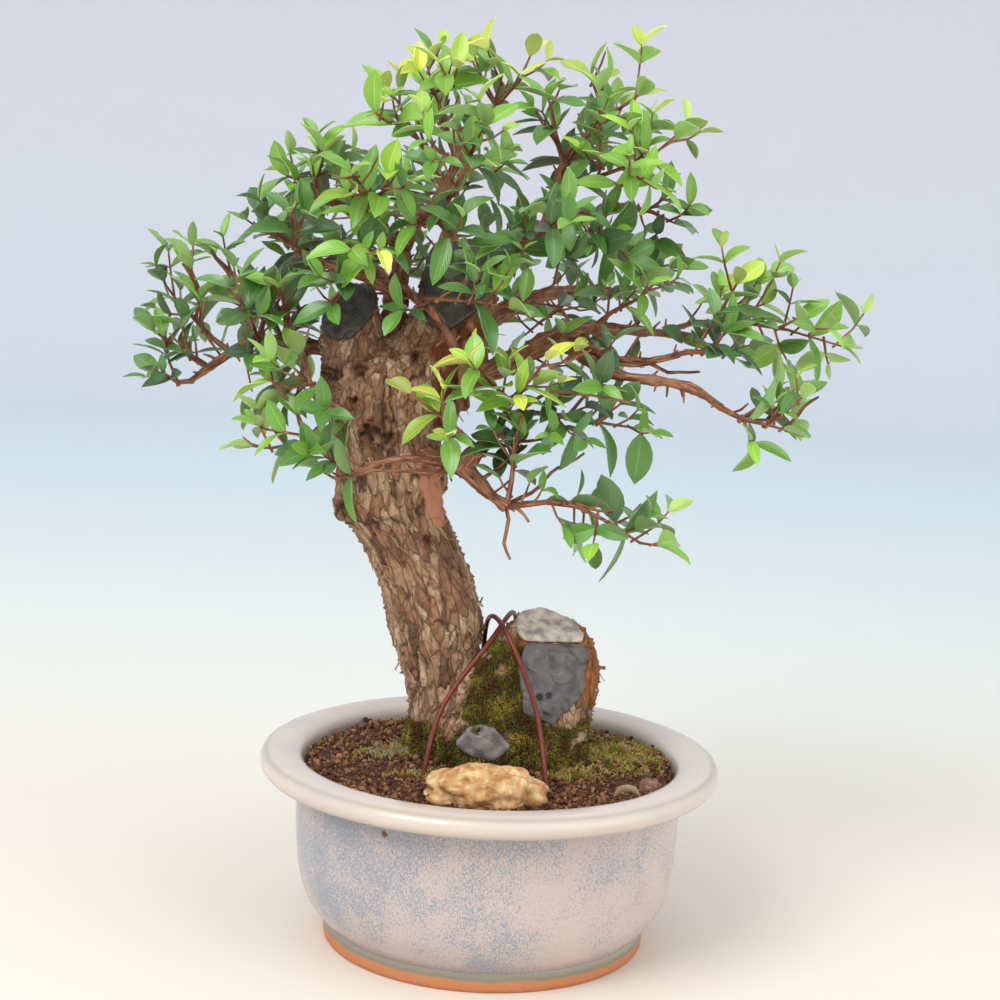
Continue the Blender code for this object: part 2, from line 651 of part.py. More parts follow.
def saw(bm, marks):
    """Cuts the wood off flat at a plane."""
    point, normal = saw_plane(marks)
    bmesh.ops.triangulate(bm, faces=bm.faces)
    everything = bm.verts[:] + bm.edges[:] + bm.faces[:]
    bmesh.ops.bisect_plane(
        bm, geom=everything, dist=1e-7, plane_co=point, plane_no=normal, clear_outer=True
    )
    bmesh.ops.holes_fill(bm, edges=[edge for edge in bm.edges if edge.is_boundary], sides=0)
    bmesh.ops.recalc_face_normals(bm, faces=bm.faces)


def sawn_face(bm, marks):
    """The outline of the flat face that a saw cut left, with its normal."""
    point, normal = saw_plane(marks)
    flat = []
    for face in bm.faces:
        height = (face.calc_center_median() - point).dot(normal)
        if face.normal.dot(normal) > 0.999 and abs(height) < FLAT_TOLERANCE * MM:
            flat.append(face)
    if len(flat) > 1:
        flat = bmesh.ops.dissolve_faces(bm, faces=flat)["region"]
    widest = max(flat, key=lambda face: face.calc_area())
    return [vert.co.copy() for vert in widest.verts], normal


def seal(outline, normal):
    """A dab of wound paste with a rounded edge, on a sawn face."""
    middle = sum(outline, Vector()) / len(outline)
    lift = normal * FIT_GAP * MM
    bm = bmesh.new()
    base = [bm.verts.new(middle + (corner - middle) * SEAL_INSET + lift) for corner in outline]
    top = [bm.faces.new(base)]
    for step, (rise, spread) in enumerate(SEAL_STEPS):
        top, corners = extruded(bm, top, keep=step == 0)
        centre = sum((corner.co for corner in corners), Vector()) / len(corners)
        for corner in corners:
            corner.co = centre + (corner.co - centre) * spread + normal * rise * SEAL_THICKNESS * MM
    return bm


def branch(route, sides):
    points = [seen(*place) for *place, _ in route]
    return tube(points, [(radius * MM, radius * MM) for *_, radius in route], sides)


def make_tree():
    """The trunk, stump and branches as one piece, and the paste on each sawn face."""
    wood = {
        "trunk": wood_column(TRUNK),
        "left_stub": wood_column(LEFT_STUB),
        "right_stub": wood_column(RIGHT_STUB),
        "stump": wood_column(STUMP),
        "knob": knob(),
    }
    for piece, marks in CUTS.values():
        saw(wood[piece], marks)
    sawn = {cut_name: sawn_face(wood[piece], marks) for cut_name, (piece, marks) in CUTS.items()}
    meshes = [mesh_of(bm, name, "bark") for name, bm in wood.items()]
    meshes += [mesh_of(branch(route, LIMB_SIDES), name, "bark") for name, route in LIMBS.items()]
    tree = node("trunk", fused(meshes, "trunk"))
    seals = [node("seal_" + name, mesh_of(seal(*face), name, "paste")) for name, face in sawn.items()]
    return tree, seals


def soil_holes():
    """The plain holes that the wood and the rock leave in the soil."""
    shapes = {
        "trunk_hole": wood_column(TRUNK[:5], FIT_GAP),
        "stump_hole": wood_column(STUMP[:4], FIT_GAP),
        "knob_hole": knob(FIT_GAP),
        "rock_seat": rock(FIT_GAP),
    }
    return [cutter(name, bm, "soil") for name, bm in shapes.items()]


# Tie wires


def smooth_route(places, step):
    """Points along a smooth curve through the places, about a step apart."""
    ends = [2 * places[0] - places[1], *places, 2 * places[-1] - places[-2]]
    route = []
    for before, start, end, after in zip(ends, ends[1:], ends[2:], ends[3:]):
        count = max(1, round((end - start).length / step))
        bend = 2 * before - 5 * start + 4 * end - after
        twist = 3 * start - before - 3 * end + after
        for i in range(count):
            t = i / count
            route.append((2 * start + (end - before) * t + bend * t**2 + twist * t**3) / 2)
    return [*route, places[-1]]


def pushed_out(route, solid, clearance):
    """The route with each point at least the clearance outside the solid."""
    moved = []
    for point in route:
        near, normal, _, distance = solid.find_nearest(point)
        away = (point - near).normalized()
        if away.dot(normal) < INSIDE_LEAN and distance < DEEPEST_INSIDE * MM:
            point = near + normal * clearance
        elif distance < clearance:
            point = near + away * clearance
        moved.append(point)
    return moved


def make_wires(solids):
    """Both wires over the stump, each clear of what it crosses, and the holes that they leave in the soil."""
    holes = []
    for name, marks in WIRES.items():
        route = smooth_route([seen(*mark) for mark in marks], WIRE_STEP * MM)
        for turn in range(5):
            for solid in solids:
                route = pushed_out(route, solid, (WIRE_RADIUS + WIRE_CLEARANCE) * MM)
            if turn < 4:
                eased = [(a + 2 * b + c) / 4 for a, b, c in zip(route, route[1:], route[2:])]
                route = [route[0], *eased, route[-1]]
        width = WIRE_RADIUS * MM
        wire = tube(route, [(width, width)] * len(route), WIRE_SIDES)
        solids = [*solids, BVHTree.FromBMesh(wire)]
        node("wire_" + name, mesh_of(wire, "wire_" + name, "wire"))
        width = (WIRE_RADIUS + FIT_GAP) * MM
        hole = tube(lengthened(route, FIT_GAP), [(width, width)] * len(route), WIRE_SIDES)
        holes.append(cutter(f"wire_{name}_hole", hole, "soil"))
    return holes


# Twigs and leaves


def route_length(points):
    return sum((b - a).length for a, b in zip(points, points[1:]))


def walk(points, distance):
    """The point at that distance along a route, with the direction there."""
    for a, b in zip(points, points[1:]):
        step = (b - a).length
        if distance <= step:
            return a.lerp(b, distance / step), (b - a).normalized()
        distance -= step
    return points[-1].copy(), (points[-1] - points[-2]).normalized()


class Crowd:
    """The pieces placed so far, so that new ones stay clear of them."""

    def __init__(self):
        self.pieces = []

    def add(self, owner, kind, bm):
        self.pieces.append((owner, kind, *self.ball(bm), BVHTree.FromBMesh(bm)))

    def ball(self, bm):
        middle = sum((vert.co for vert in bm.verts), Vector()) / len(bm.verts)
        return middle, max((vert.co - middle).length for vert in bm.verts)

    def meets(self, owner, kind, bm):
        """Whether the piece crosses another: twigs pass through their own spray's, a leaf crosses none."""
        middle, reach = self.ball(bm)
        tree = BVHTree.FromBMesh(bm)
        for other, other_kind, other_middle, other_reach, other_tree in self.pieces:
            if other == owner and kind == other_kind == "twig":
                continue
            if (middle - other_middle).length < reach + other_reach and tree.overlap(other_tree):
                return True
        return False


def twig(route, thick):
    last = len(route) - 1
    radii = [(thick + (TIP_RADIUS - thick) * i / last) * MM for i in range(len(route))]
    return tube(route, [(radius, radius) for radius in radii], STEM_SIDES)


def grow_stem(crowd, name, route, thick):
    """A stem, bent back or forward past its second point where it would cross another piece."""
    for bend in BEND_STEPS:
        last = len(route) - 1
        shift = Vector((0, bend * MM, 0))
        bent = [point + shift * max(0, i - 1) / max(1, last - 1) for i, point in enumerate(route)]
        bm = twig(bent, thick)
        if not crowd.meets(name, "twig", bm):
            crowd.add(name, "twig", bm)
            return bent, bm
        bm.free()
    return None


def seated(crowd, name):
    """A spray's first stem, from the first place towards its limb's middle where it stands clear of the wood."""
    limb, number, _, stems = SPRAYS[name]
    root = seen(*LIMBS[limb][number][:3])
    first = [seen(*mark) for mark in stems[0][1]]
    heading = (first[0] - root).normalized()
    start = root + heading * SEAT_STEP * MM
    while True:
        bm = twig([start, first[0]], STEM_RADIUS)
        crosses = crowd.meets(name, "twig", bm)
        bm.free()
        if not crosses:
            return [start + heading * FIT_GAP * MM, *first]
        start += heading * SEAT_STEP * MM


def side_shoots(name, route):
    """One or two short shoots off a spray's first stem, each leaning forwards to a side of its own."""
    length = route_length(route)
    for i in range(2 if length > LONG_STEM * MM else 1):
        draw = random.Random(f"{name} shoot {i}")
        start, along = walk(route, length * (0.32 + 0.34 * i + draw.uniform(-0.05, 0.05)))
        side = Matrix.Rotation(draw.uniform(0, math.tau), 3, along) @ along.orthogonal().normalized()
        heading = (along * 0.75 + (side + Vector((0, 0, 0.6))).normalized() * 0.8).normalized()
        yield [start, start + heading * SHOOT_LENGTH * MM * draw.uniform(0.7, 1.2)]


def leaf(frame, length, droop, start):
    """A blade along the frame's X from the start: flat across above, arched to the tip and keeled beneath."""
    marks = [(start / length, 0.035, 0.3), *LEAF_STATIONS, (1, 0.035, 0.3)]
    points = [Vector((share * length, 0, -droop * length * share**2)) for share, *_ in marks]
    width = length * LEAF_WIDTH_SHARE / math.sqrt(3)
    thickness = LEAF_THICKNESS * MM / 1.5
    bm = tube(points, [(wide * width, -thick * thickness) for _, wide, thick in marks], 3)
    bm.verts.ensure_lookup_table()
    bmesh.ops.pointmerge(bm, verts=bm.verts[-3:], merge_co=points[-1])
    bmesh.ops.transform(bm, matrix=frame, verts=bm.verts)
    bmesh.ops.recalc_face_normals(bm, faces=bm.faces)
    return bm


def leaf_places(route, key, crossed):
    """Where the leaves of a twig sit: in pairs face to face, each pair turned a quarter from the last."""
    length = route_length(route) - LEAF_TIP_INSET * MM
    pairs = max(1, min(MOST_PAIRS, round(length / (LEAF_SPACING * MM))))
    for pair in range(pairs):
        point, along = walk(route, max(length - pair * LEAF_SPACING * MM, length * 0.25))
        across = along.cross(Vector((0, 0, 1)))
        side = across.normalized() if across.length > 0.2 else along.orthogonal().normalized()
        for half in range(2):
            draw = random.Random(f"{key} {pair} {half}")
            size = draw.uniform(0.78, 1.15) * (0.8 if pair == 0 else 1)
            spread = draw.uniform(34, 50) if pair == 0 else draw.uniform(52, 76)
            turn = 180 * half + 90 * ((pair + crossed) % 2) + draw.uniform(-18, 18)
            droop = draw.uniform(0.04, 0.24)
            yield point, along, side, math.radians(turn), math.radians(spread), size, droop


def leaf_frame(point, along, side, turn, spread):
    """A frame with X along the blade and Z out of its upper face."""
    outward = Matrix.Rotation(turn, 3, along) @ side
    heading = (along * math.cos(spread) + outward * math.sin(spread) + Vector((0, 0, 0.12))).normalized()
    face = along * 0.7 + Vector((0, -0.15, 0.75))
    face = (face - heading * face.dot(heading)).normalized()
    frame = Matrix((heading, face.cross(heading), face)).transposed().to_4x4()
    frame.translation = point
    return frame


def grow_leaf(crowd, name, place):
    """A leaf at its place, turned a little round the twig where it would cross another, or left out."""
    point, along, side, turn, spread, size, droop = place
    length = LEAF_LENGTH * size * MM
    for swing in LEAF_SWINGS:
        frame = leaf_frame(point, along, side, turn + math.radians(swing), spread)
        blade = leaf(frame, length, droop, LEAF_CLEAR * MM)
        crosses = crowd.meets(name, "leaf", blade)
        if not crosses:
            crowd.add(name, "leaf", blade)
        blade.free()
        if not crosses:
            return leaf(frame, length, droop, -LEAF_ROOT * MM)
    return None


def grow_twigs(crowd):
    """Every spray's first stem, its forks, then their side shoots, as routes with their shapes."""
    twigs = {name: [grow_stem(crowd, name, seated(crowd, name), STEM_RADIUS)] for name in SPRAYS}
    for name, stems in twigs.items():
        first = stems[0][0]
        for fork, marks in SPRAYS[name][3][1:]:
            grown = grow_stem(crowd, name, [first[fork], *[seen(*mark) for mark in marks]], SHOOT_RADIUS)
            if grown:
                stems.append(grown)
    for name, stems in twigs.items():
        for shoot in side_shoots(name, stems[0][0]):
            bm = twig(shoot, SHOOT_RADIUS)
            if crowd.meets(name, "twig", bm):
                bm.free()
                continue
            crowd.add(name, "twig", bm)
            stems.append((shoot, bm))
    return twigs


def leaf_finish(freshness):
    if freshness > 0.66:
        return "new_leaf"
    return "grown_leaf" if freshness > 0.33 else "old_leaf"


def make_sprays(crowd):
    for name, found in grow_twigs(crowd).items():
        finish = leaf_finish(SPRAYS[name][2])
        meshes = [mesh_of(bm, name, "twig") for _, bm in found]
        for index, (route, _) in enumerate(found):
            for place in leaf_places(route, f"{name} {index}", index):
                bm = grow_leaf(crowd, name, place)
                if bm:
                    meshes.append(mesh_of(bm, name, finish))
        node("spray_" + name, fused(meshes, name))


def main():
    clear_scene()
    make_pot()
    pockets = make_drain_meshes()
    tree, seals = make_tree()
    stone = node("rock", mesh_of(rock(), "rock", "stone"))
    graph = bpy.context.evaluated_depsgraph_get()
    solids = [BVHTree.FromObject(obj, graph) for obj in (tree, *seals, stone)]
    wire_holes = make_wires(solids)
    make_soil([*pockets, *soil_holes(), *wire_holes])
    crowd = Crowd()
    for obj in (tree, *seals):
        bm = bmesh.new()
        bm.from_mesh(obj.data)
        crowd.add(obj.name, "twig", bm)
        bm.free()
    make_sprays(crowd)


if __name__ == "__main__":
    main()
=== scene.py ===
"""Looks of the common myrtle bonsai: fine wood, leaves, glaze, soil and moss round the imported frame.

Metres, Z up, the tree's front towards -Y. Points of the tree are given as seen from one viewpoint:
across and down in a picture 1000 points wide and high, then depth in millimetres.
"""

import math
import random
from functools import partial

import bmesh
import bpy
from bpy.props import FloatProperty, FloatVectorProperty, IntProperty, PointerProperty
from bpy.types import Operator, Panel, PropertyGroup
from mathutils import Matrix, Vector, noise
from mathutils.bvhtree import BVHTree


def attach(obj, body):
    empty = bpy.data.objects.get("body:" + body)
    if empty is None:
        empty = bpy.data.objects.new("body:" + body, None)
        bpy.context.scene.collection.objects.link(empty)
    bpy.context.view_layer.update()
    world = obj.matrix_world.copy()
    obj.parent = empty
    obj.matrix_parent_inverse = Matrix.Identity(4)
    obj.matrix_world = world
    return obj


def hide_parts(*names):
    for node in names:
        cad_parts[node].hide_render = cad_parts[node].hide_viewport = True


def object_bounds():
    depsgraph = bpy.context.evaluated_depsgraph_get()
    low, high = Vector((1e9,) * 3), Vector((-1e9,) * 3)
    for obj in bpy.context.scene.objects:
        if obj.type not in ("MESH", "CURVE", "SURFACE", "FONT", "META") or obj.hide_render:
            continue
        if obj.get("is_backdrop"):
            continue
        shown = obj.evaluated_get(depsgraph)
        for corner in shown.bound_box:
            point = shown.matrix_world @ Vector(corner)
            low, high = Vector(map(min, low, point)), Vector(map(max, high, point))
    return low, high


bl_info = {
    "name": "Myrtle bonsai",
    "version": (1, 0, 0),
    "blender": (4, 5, 0),
    "location": "3D View > Sidebar > Bonsai",
    "description": "Builds the wood, leaves, pot, soil and stage of a common myrtle bonsai round its frame",
    "category": "Add Mesh",
}

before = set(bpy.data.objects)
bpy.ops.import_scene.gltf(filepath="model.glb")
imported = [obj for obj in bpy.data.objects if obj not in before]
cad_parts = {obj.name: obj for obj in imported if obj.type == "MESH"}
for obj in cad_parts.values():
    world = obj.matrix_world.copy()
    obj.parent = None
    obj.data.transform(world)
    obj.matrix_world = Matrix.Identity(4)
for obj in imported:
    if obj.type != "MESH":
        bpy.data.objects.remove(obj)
CAD_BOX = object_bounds()
MM = 0.001
BODY = "root"
HANDFUL = 60
# Seeds the directions of smooth chance, which would follow the clock without it
STRAY_SEED = 1796074201
SHARP_ANGLE = math.radians(55)
# How much shorter the bark's pattern is taken along the trunk, so that its plates come out long
GRAIN_DRAW = 0.36

# The one viewpoint that the tree was drawn from
SIGHT_DISTANCE = 986  # millimetres from the eye to the target
SIGHT_TILT = math.radians(8.8)
SIGHT_ROLL = math.radians(-2.54)
SIGHT_TARGET = Vector((-0.5, 0, 222.6))  # millimetres
SIGHT_FOCUS = 2000  # in points of the picture
PICTURE_MIDDLE = 500
SENSOR_WIDTH = 36  # millimetres

SIGHT_AHEAD = Vector((0, math.cos(SIGHT_TILT), -math.sin(SIGHT_TILT)))
SIGHT_UPRIGHT = Vector((0, math.sin(SIGHT_TILT), math.cos(SIGHT_TILT)))
SIGHT_RIGHT = math.cos(SIGHT_ROLL) * Vector((1, 0, 0)) - math.sin(SIGHT_ROLL) * SIGHT_UPRIGHT
SIGHT_TOP = math.sin(SIGHT_ROLL) * Vector((1, 0, 0)) + math.cos(SIGHT_ROLL) * SIGHT_UPRIGHT
SIGHT_EYE = SIGHT_TARGET - SIGHT_AHEAD * SIGHT_DISTANCE

# Thick wood: across, down, depth, half width and half thickness in millimetres
TRUNK = [
    (452, 806, 12, 25, 23), (450, 770, 12, 26, 24), (446, 740, 12, 21, 21), (443, 702, 11, 17.5, 20),
    (440, 662, 10, 19, 20), (436, 622, 9, 23, 22), (429, 590, 8, 22.5, 22), (418, 560, 7, 22, 22),
    (405, 530, 6, 22, 22), (396, 504, 5, 24.5, 24), (394, 480, 4, 26.5, 25), (389, 450, 3, 26, 25),
    (385, 420, 2, 27, 25), (384, 396, 2, 28.5, 26), (386, 374, 2, 30, 25), (388, 356, 2, 26, 20),
    (389, 346, 2, 17, 13),
]
LEFT_STUB = [
    (378, 410, 2, 20, 20), (367, 376, 2, 20, 20), (354, 345, 1, 16, 17), (351, 318, 0, 14, 16),
    (352, 280, 0, 13, 15),
]
RIGHT_STUB = [
    (400, 412, 2, 24, 23), (424, 376, 3, 24, 23), (444, 345, 6, 22, 21), (456, 312, 9, 20, 20),
    (460, 280, 11, 19, 18), (462, 240, 12, 17, 16),
]
STUMP = [
    (500, 812, 8, 38, 28), (504, 778, 6, 41, 31), (510, 742, 6, 40, 31), (522, 705, 8, 36, 29),
    (535, 676, 10, 32, 27), (540, 648, 12, 27, 24), (538, 626, 13, 19, 18), (536, 612, 14, 9, 9),
]
CHIP = (384, 834, -84)  # across, down and depth of the chip in the pot's wall
KNOB = (484, 738, -13, 22, 16, 17)  # across, down, depth, half width, half thickness, half height
ROCK = (486, 792, -64, 28.5, 14, 13.5)

# Saw cuts: the wood that is cut, and three points of the cut's plane, anticlockwise as seen from outside
CUTS = [
    ("left_stub", [(328, 333, -6), (371, 323, -12), (366, 290, 8)]),
    ("right_stub", [(420, 343, -17), (487, 320, -12), (466, 258, 14)]),
    ("stump", [(526, 646, -10), (588, 641, 6), (524, 612, 16)]),
    ("stump", [(566, 736, -17), (597, 672, 0), (533, 680, -13)]),
    ("knob", [(470, 750, -26), (494, 746, -26), (480, 712, -24)]),
]
# Each dab of wound paste, with the name of its colour
SEALS = {
    "left_stub": "dark", "right_stub": "dark", "stump_top": "pale", "stump_front": "grey", "knob": "worn",
}

# Bare branches: across, down, depth and radius
LIMBS = {
    "right_mid": [
        (440, 374, 2, 8), (482, 371, -4, 6.6), (512, 361, -8, 5.8), (540, 346, -10, 5), (562, 333, -10, 4.2),
        (592, 328, -8, 3.3), (626, 330, -4, 2.7), (660, 333, 0, 2.2), (698, 336, 2, 1.8),
    ],
    "right_third": [(560, 334, -10, 2.8), (600, 353, -14, 2.2), (645, 361, -16, 1.8), (688, 352, -14, 1.5)],
    "right_low": [
        (556, 338, -10, 3.4), (598, 366, -22, 3), (632, 378, -26, 2.8),
        (668, 382, -28, 2.7), (698, 392, -30, 2.4), (722, 408, -32, 1.9),
    ],
    "low_right": [
        (420, 461, -10, 6.5), (448, 463, -22, 5), (466, 470, -27, 4.4), (486, 491, -29, 3.4),
        (507, 507, -31, 2.9),
    ],
    "low_right_up": [(462, 468, -25, 4), (478, 449, -28, 3.7), (494, 434, -28, 3.1), (503, 418, -27, 2.4)],
    "low_left": [(456, 466, -24, 2.2), (430, 461, -35, 2), (404, 458, -39, 1.8), (374, 464, -41, 1.5)],
    "crown_right": [
        (460, 345, 16, 9), (484, 292, 28, 6.5), (506, 256, 27, 5.6), (530, 239, 22, 4.8), (552, 221, 18, 4),
    ],
    "crown_right_up": [(550, 223, 18, 3.6), (558, 190, 14, 3), (564, 163, 10, 2.5), (582, 140, 8, 2)],
    "crown_right_out": [(550, 223, 18, 3.2), (592, 214, 22, 2.6), (628, 206, 26, 2.1)],
    "crown_left": [(390, 362, 10, 9), (396, 302, 12, 6), (400, 264, 10, 5), (398, 238, 8, 4)],
    "crown_left_out": [(398, 242, 8, 3.4), (370, 222, 3, 2.9), (342, 207, -2, 2.4), (318, 197, -6, 2)],
    "crown_mid": [
        (399, 252, 9, 3.8), (420, 217, 12, 3.3), (444, 190, 13, 2.8), (456, 158, 11, 2.4), (463, 130, 8, 2),
    ],
    "crown_front": [(419, 218, 11, 2.9), (438, 206, -14, 2.5), (454, 192, -34, 2)],
    "left_low": [
        (345, 353, 10, 5), (310, 346, 8, 4), (284, 341, 4, 3.4), (258, 341, 0, 3),
        (232, 353, -4, 2.5), (208, 368, -8, 2.1), (191, 381, -10, 1.7),
    ],
    "left_upper": [
        (397, 292, 10, 4), (377, 283, -6, 3.4), (352, 272, -12, 2.9), (326, 264, -13, 2.4),
        (302, 253, -13, 1.9),
    ],
    "left_mid": [(362, 419, -12, 2.4), (334, 406, -24, 2), (318, 401, -24, 1.6)],
    "front_climb": [
        (462, 406, -14, 2.8), (464, 372, -26, 2.6), (452, 343, -28, 2.4),
        (438, 318, -24, 2.2), (418, 300, -12, 2.2), (398, 282, 9, 2.4),
    ],
    "back_mid": [(428, 350, 18, 7), (436, 296, 42, 4.8), (442, 256, 62, 3.6), (448, 220, 74, 2.4)],
    "back_left": [(397, 304, 14, 4.6), (380, 275, 46, 3.6), (352, 262, 68, 2.4)],
    "back_right": [(470, 330, 24, 6.5), (528, 300, 50, 4.2), (575, 290, 66, 3), (620, 292, 76, 2)],
}

# Bare twigs: across, down and depth
TWIGS = [
    [(230, 353, -4), (202, 328, -8), (173, 296, -10)],
    [(206, 364, -8), (187, 353, -11), (152, 329, -14)],
    [(184, 263, -10), (202, 301, -8), (202, 329, -6), (222, 358, -5)],
    [(210, 250, 6), (240, 288, 6), (261, 311, 4), (276, 341, 3)],
    [(302, 253, -13), (278, 236, -16), (263, 222, -18)],
    [(317, 196, -6), (345, 212, -4), (375, 212, 2), (432, 219, 11)],
    [(344, 412, -20), (319, 402, -24), (291, 408, -27)],
    [(317, 399, -24), (309, 376, -26), (304, 353, -27)],
    [(310, 440, -30), (291, 405, -31), (269, 377, -31)],
    [(506, 256, 27), (528, 244, 10), (543, 224, -4)],
    [(604, 353, -14), (630, 366, -18), (681, 356, -20)],
    [(722, 408, -32), (743, 418, -36), (776, 420, -37)],
    [(766, 421, -35), (780, 404, -32), (789, 387, -30)],
    [(786, 430, -36), (804, 408, -40), (819, 397, -44)],
    [(504, 504, -31), (518, 510, -34), (528, 522, -36)],
    [(507, 507, -31), (563, 500, -30), (593, 510, -29), (612, 512, -28)],
    [(506, 506, -31), (509, 520, -34), (504, 543, -36), (510, 560, -37)],
    [(504, 505, -30), (532, 494, -27), (551, 473, -25), (585, 454, -24)],
    [(480, 482, -29), (500, 466, -33), (522, 445, -35)],
    [(507, 507, -31), (512, 474, -38), (514, 443, -40), (522, 414, -42)],
    [(494, 434, -28), (520, 441, -31), (546, 439, -33)],
    [(503, 418, -27), (530, 404, -35), (553, 392, -38), (630, 402, -38)],
    [(460, 466, -25), (430, 472, -38), (380, 470, -44), (341, 477, -46)],
    [(645, 361, -16), (668, 372, -8), (700, 372, -2)],
    [(398, 238, 8), (378, 262, -4), (340, 240, -10)],
]
TWIG_RADIUS = 1.1

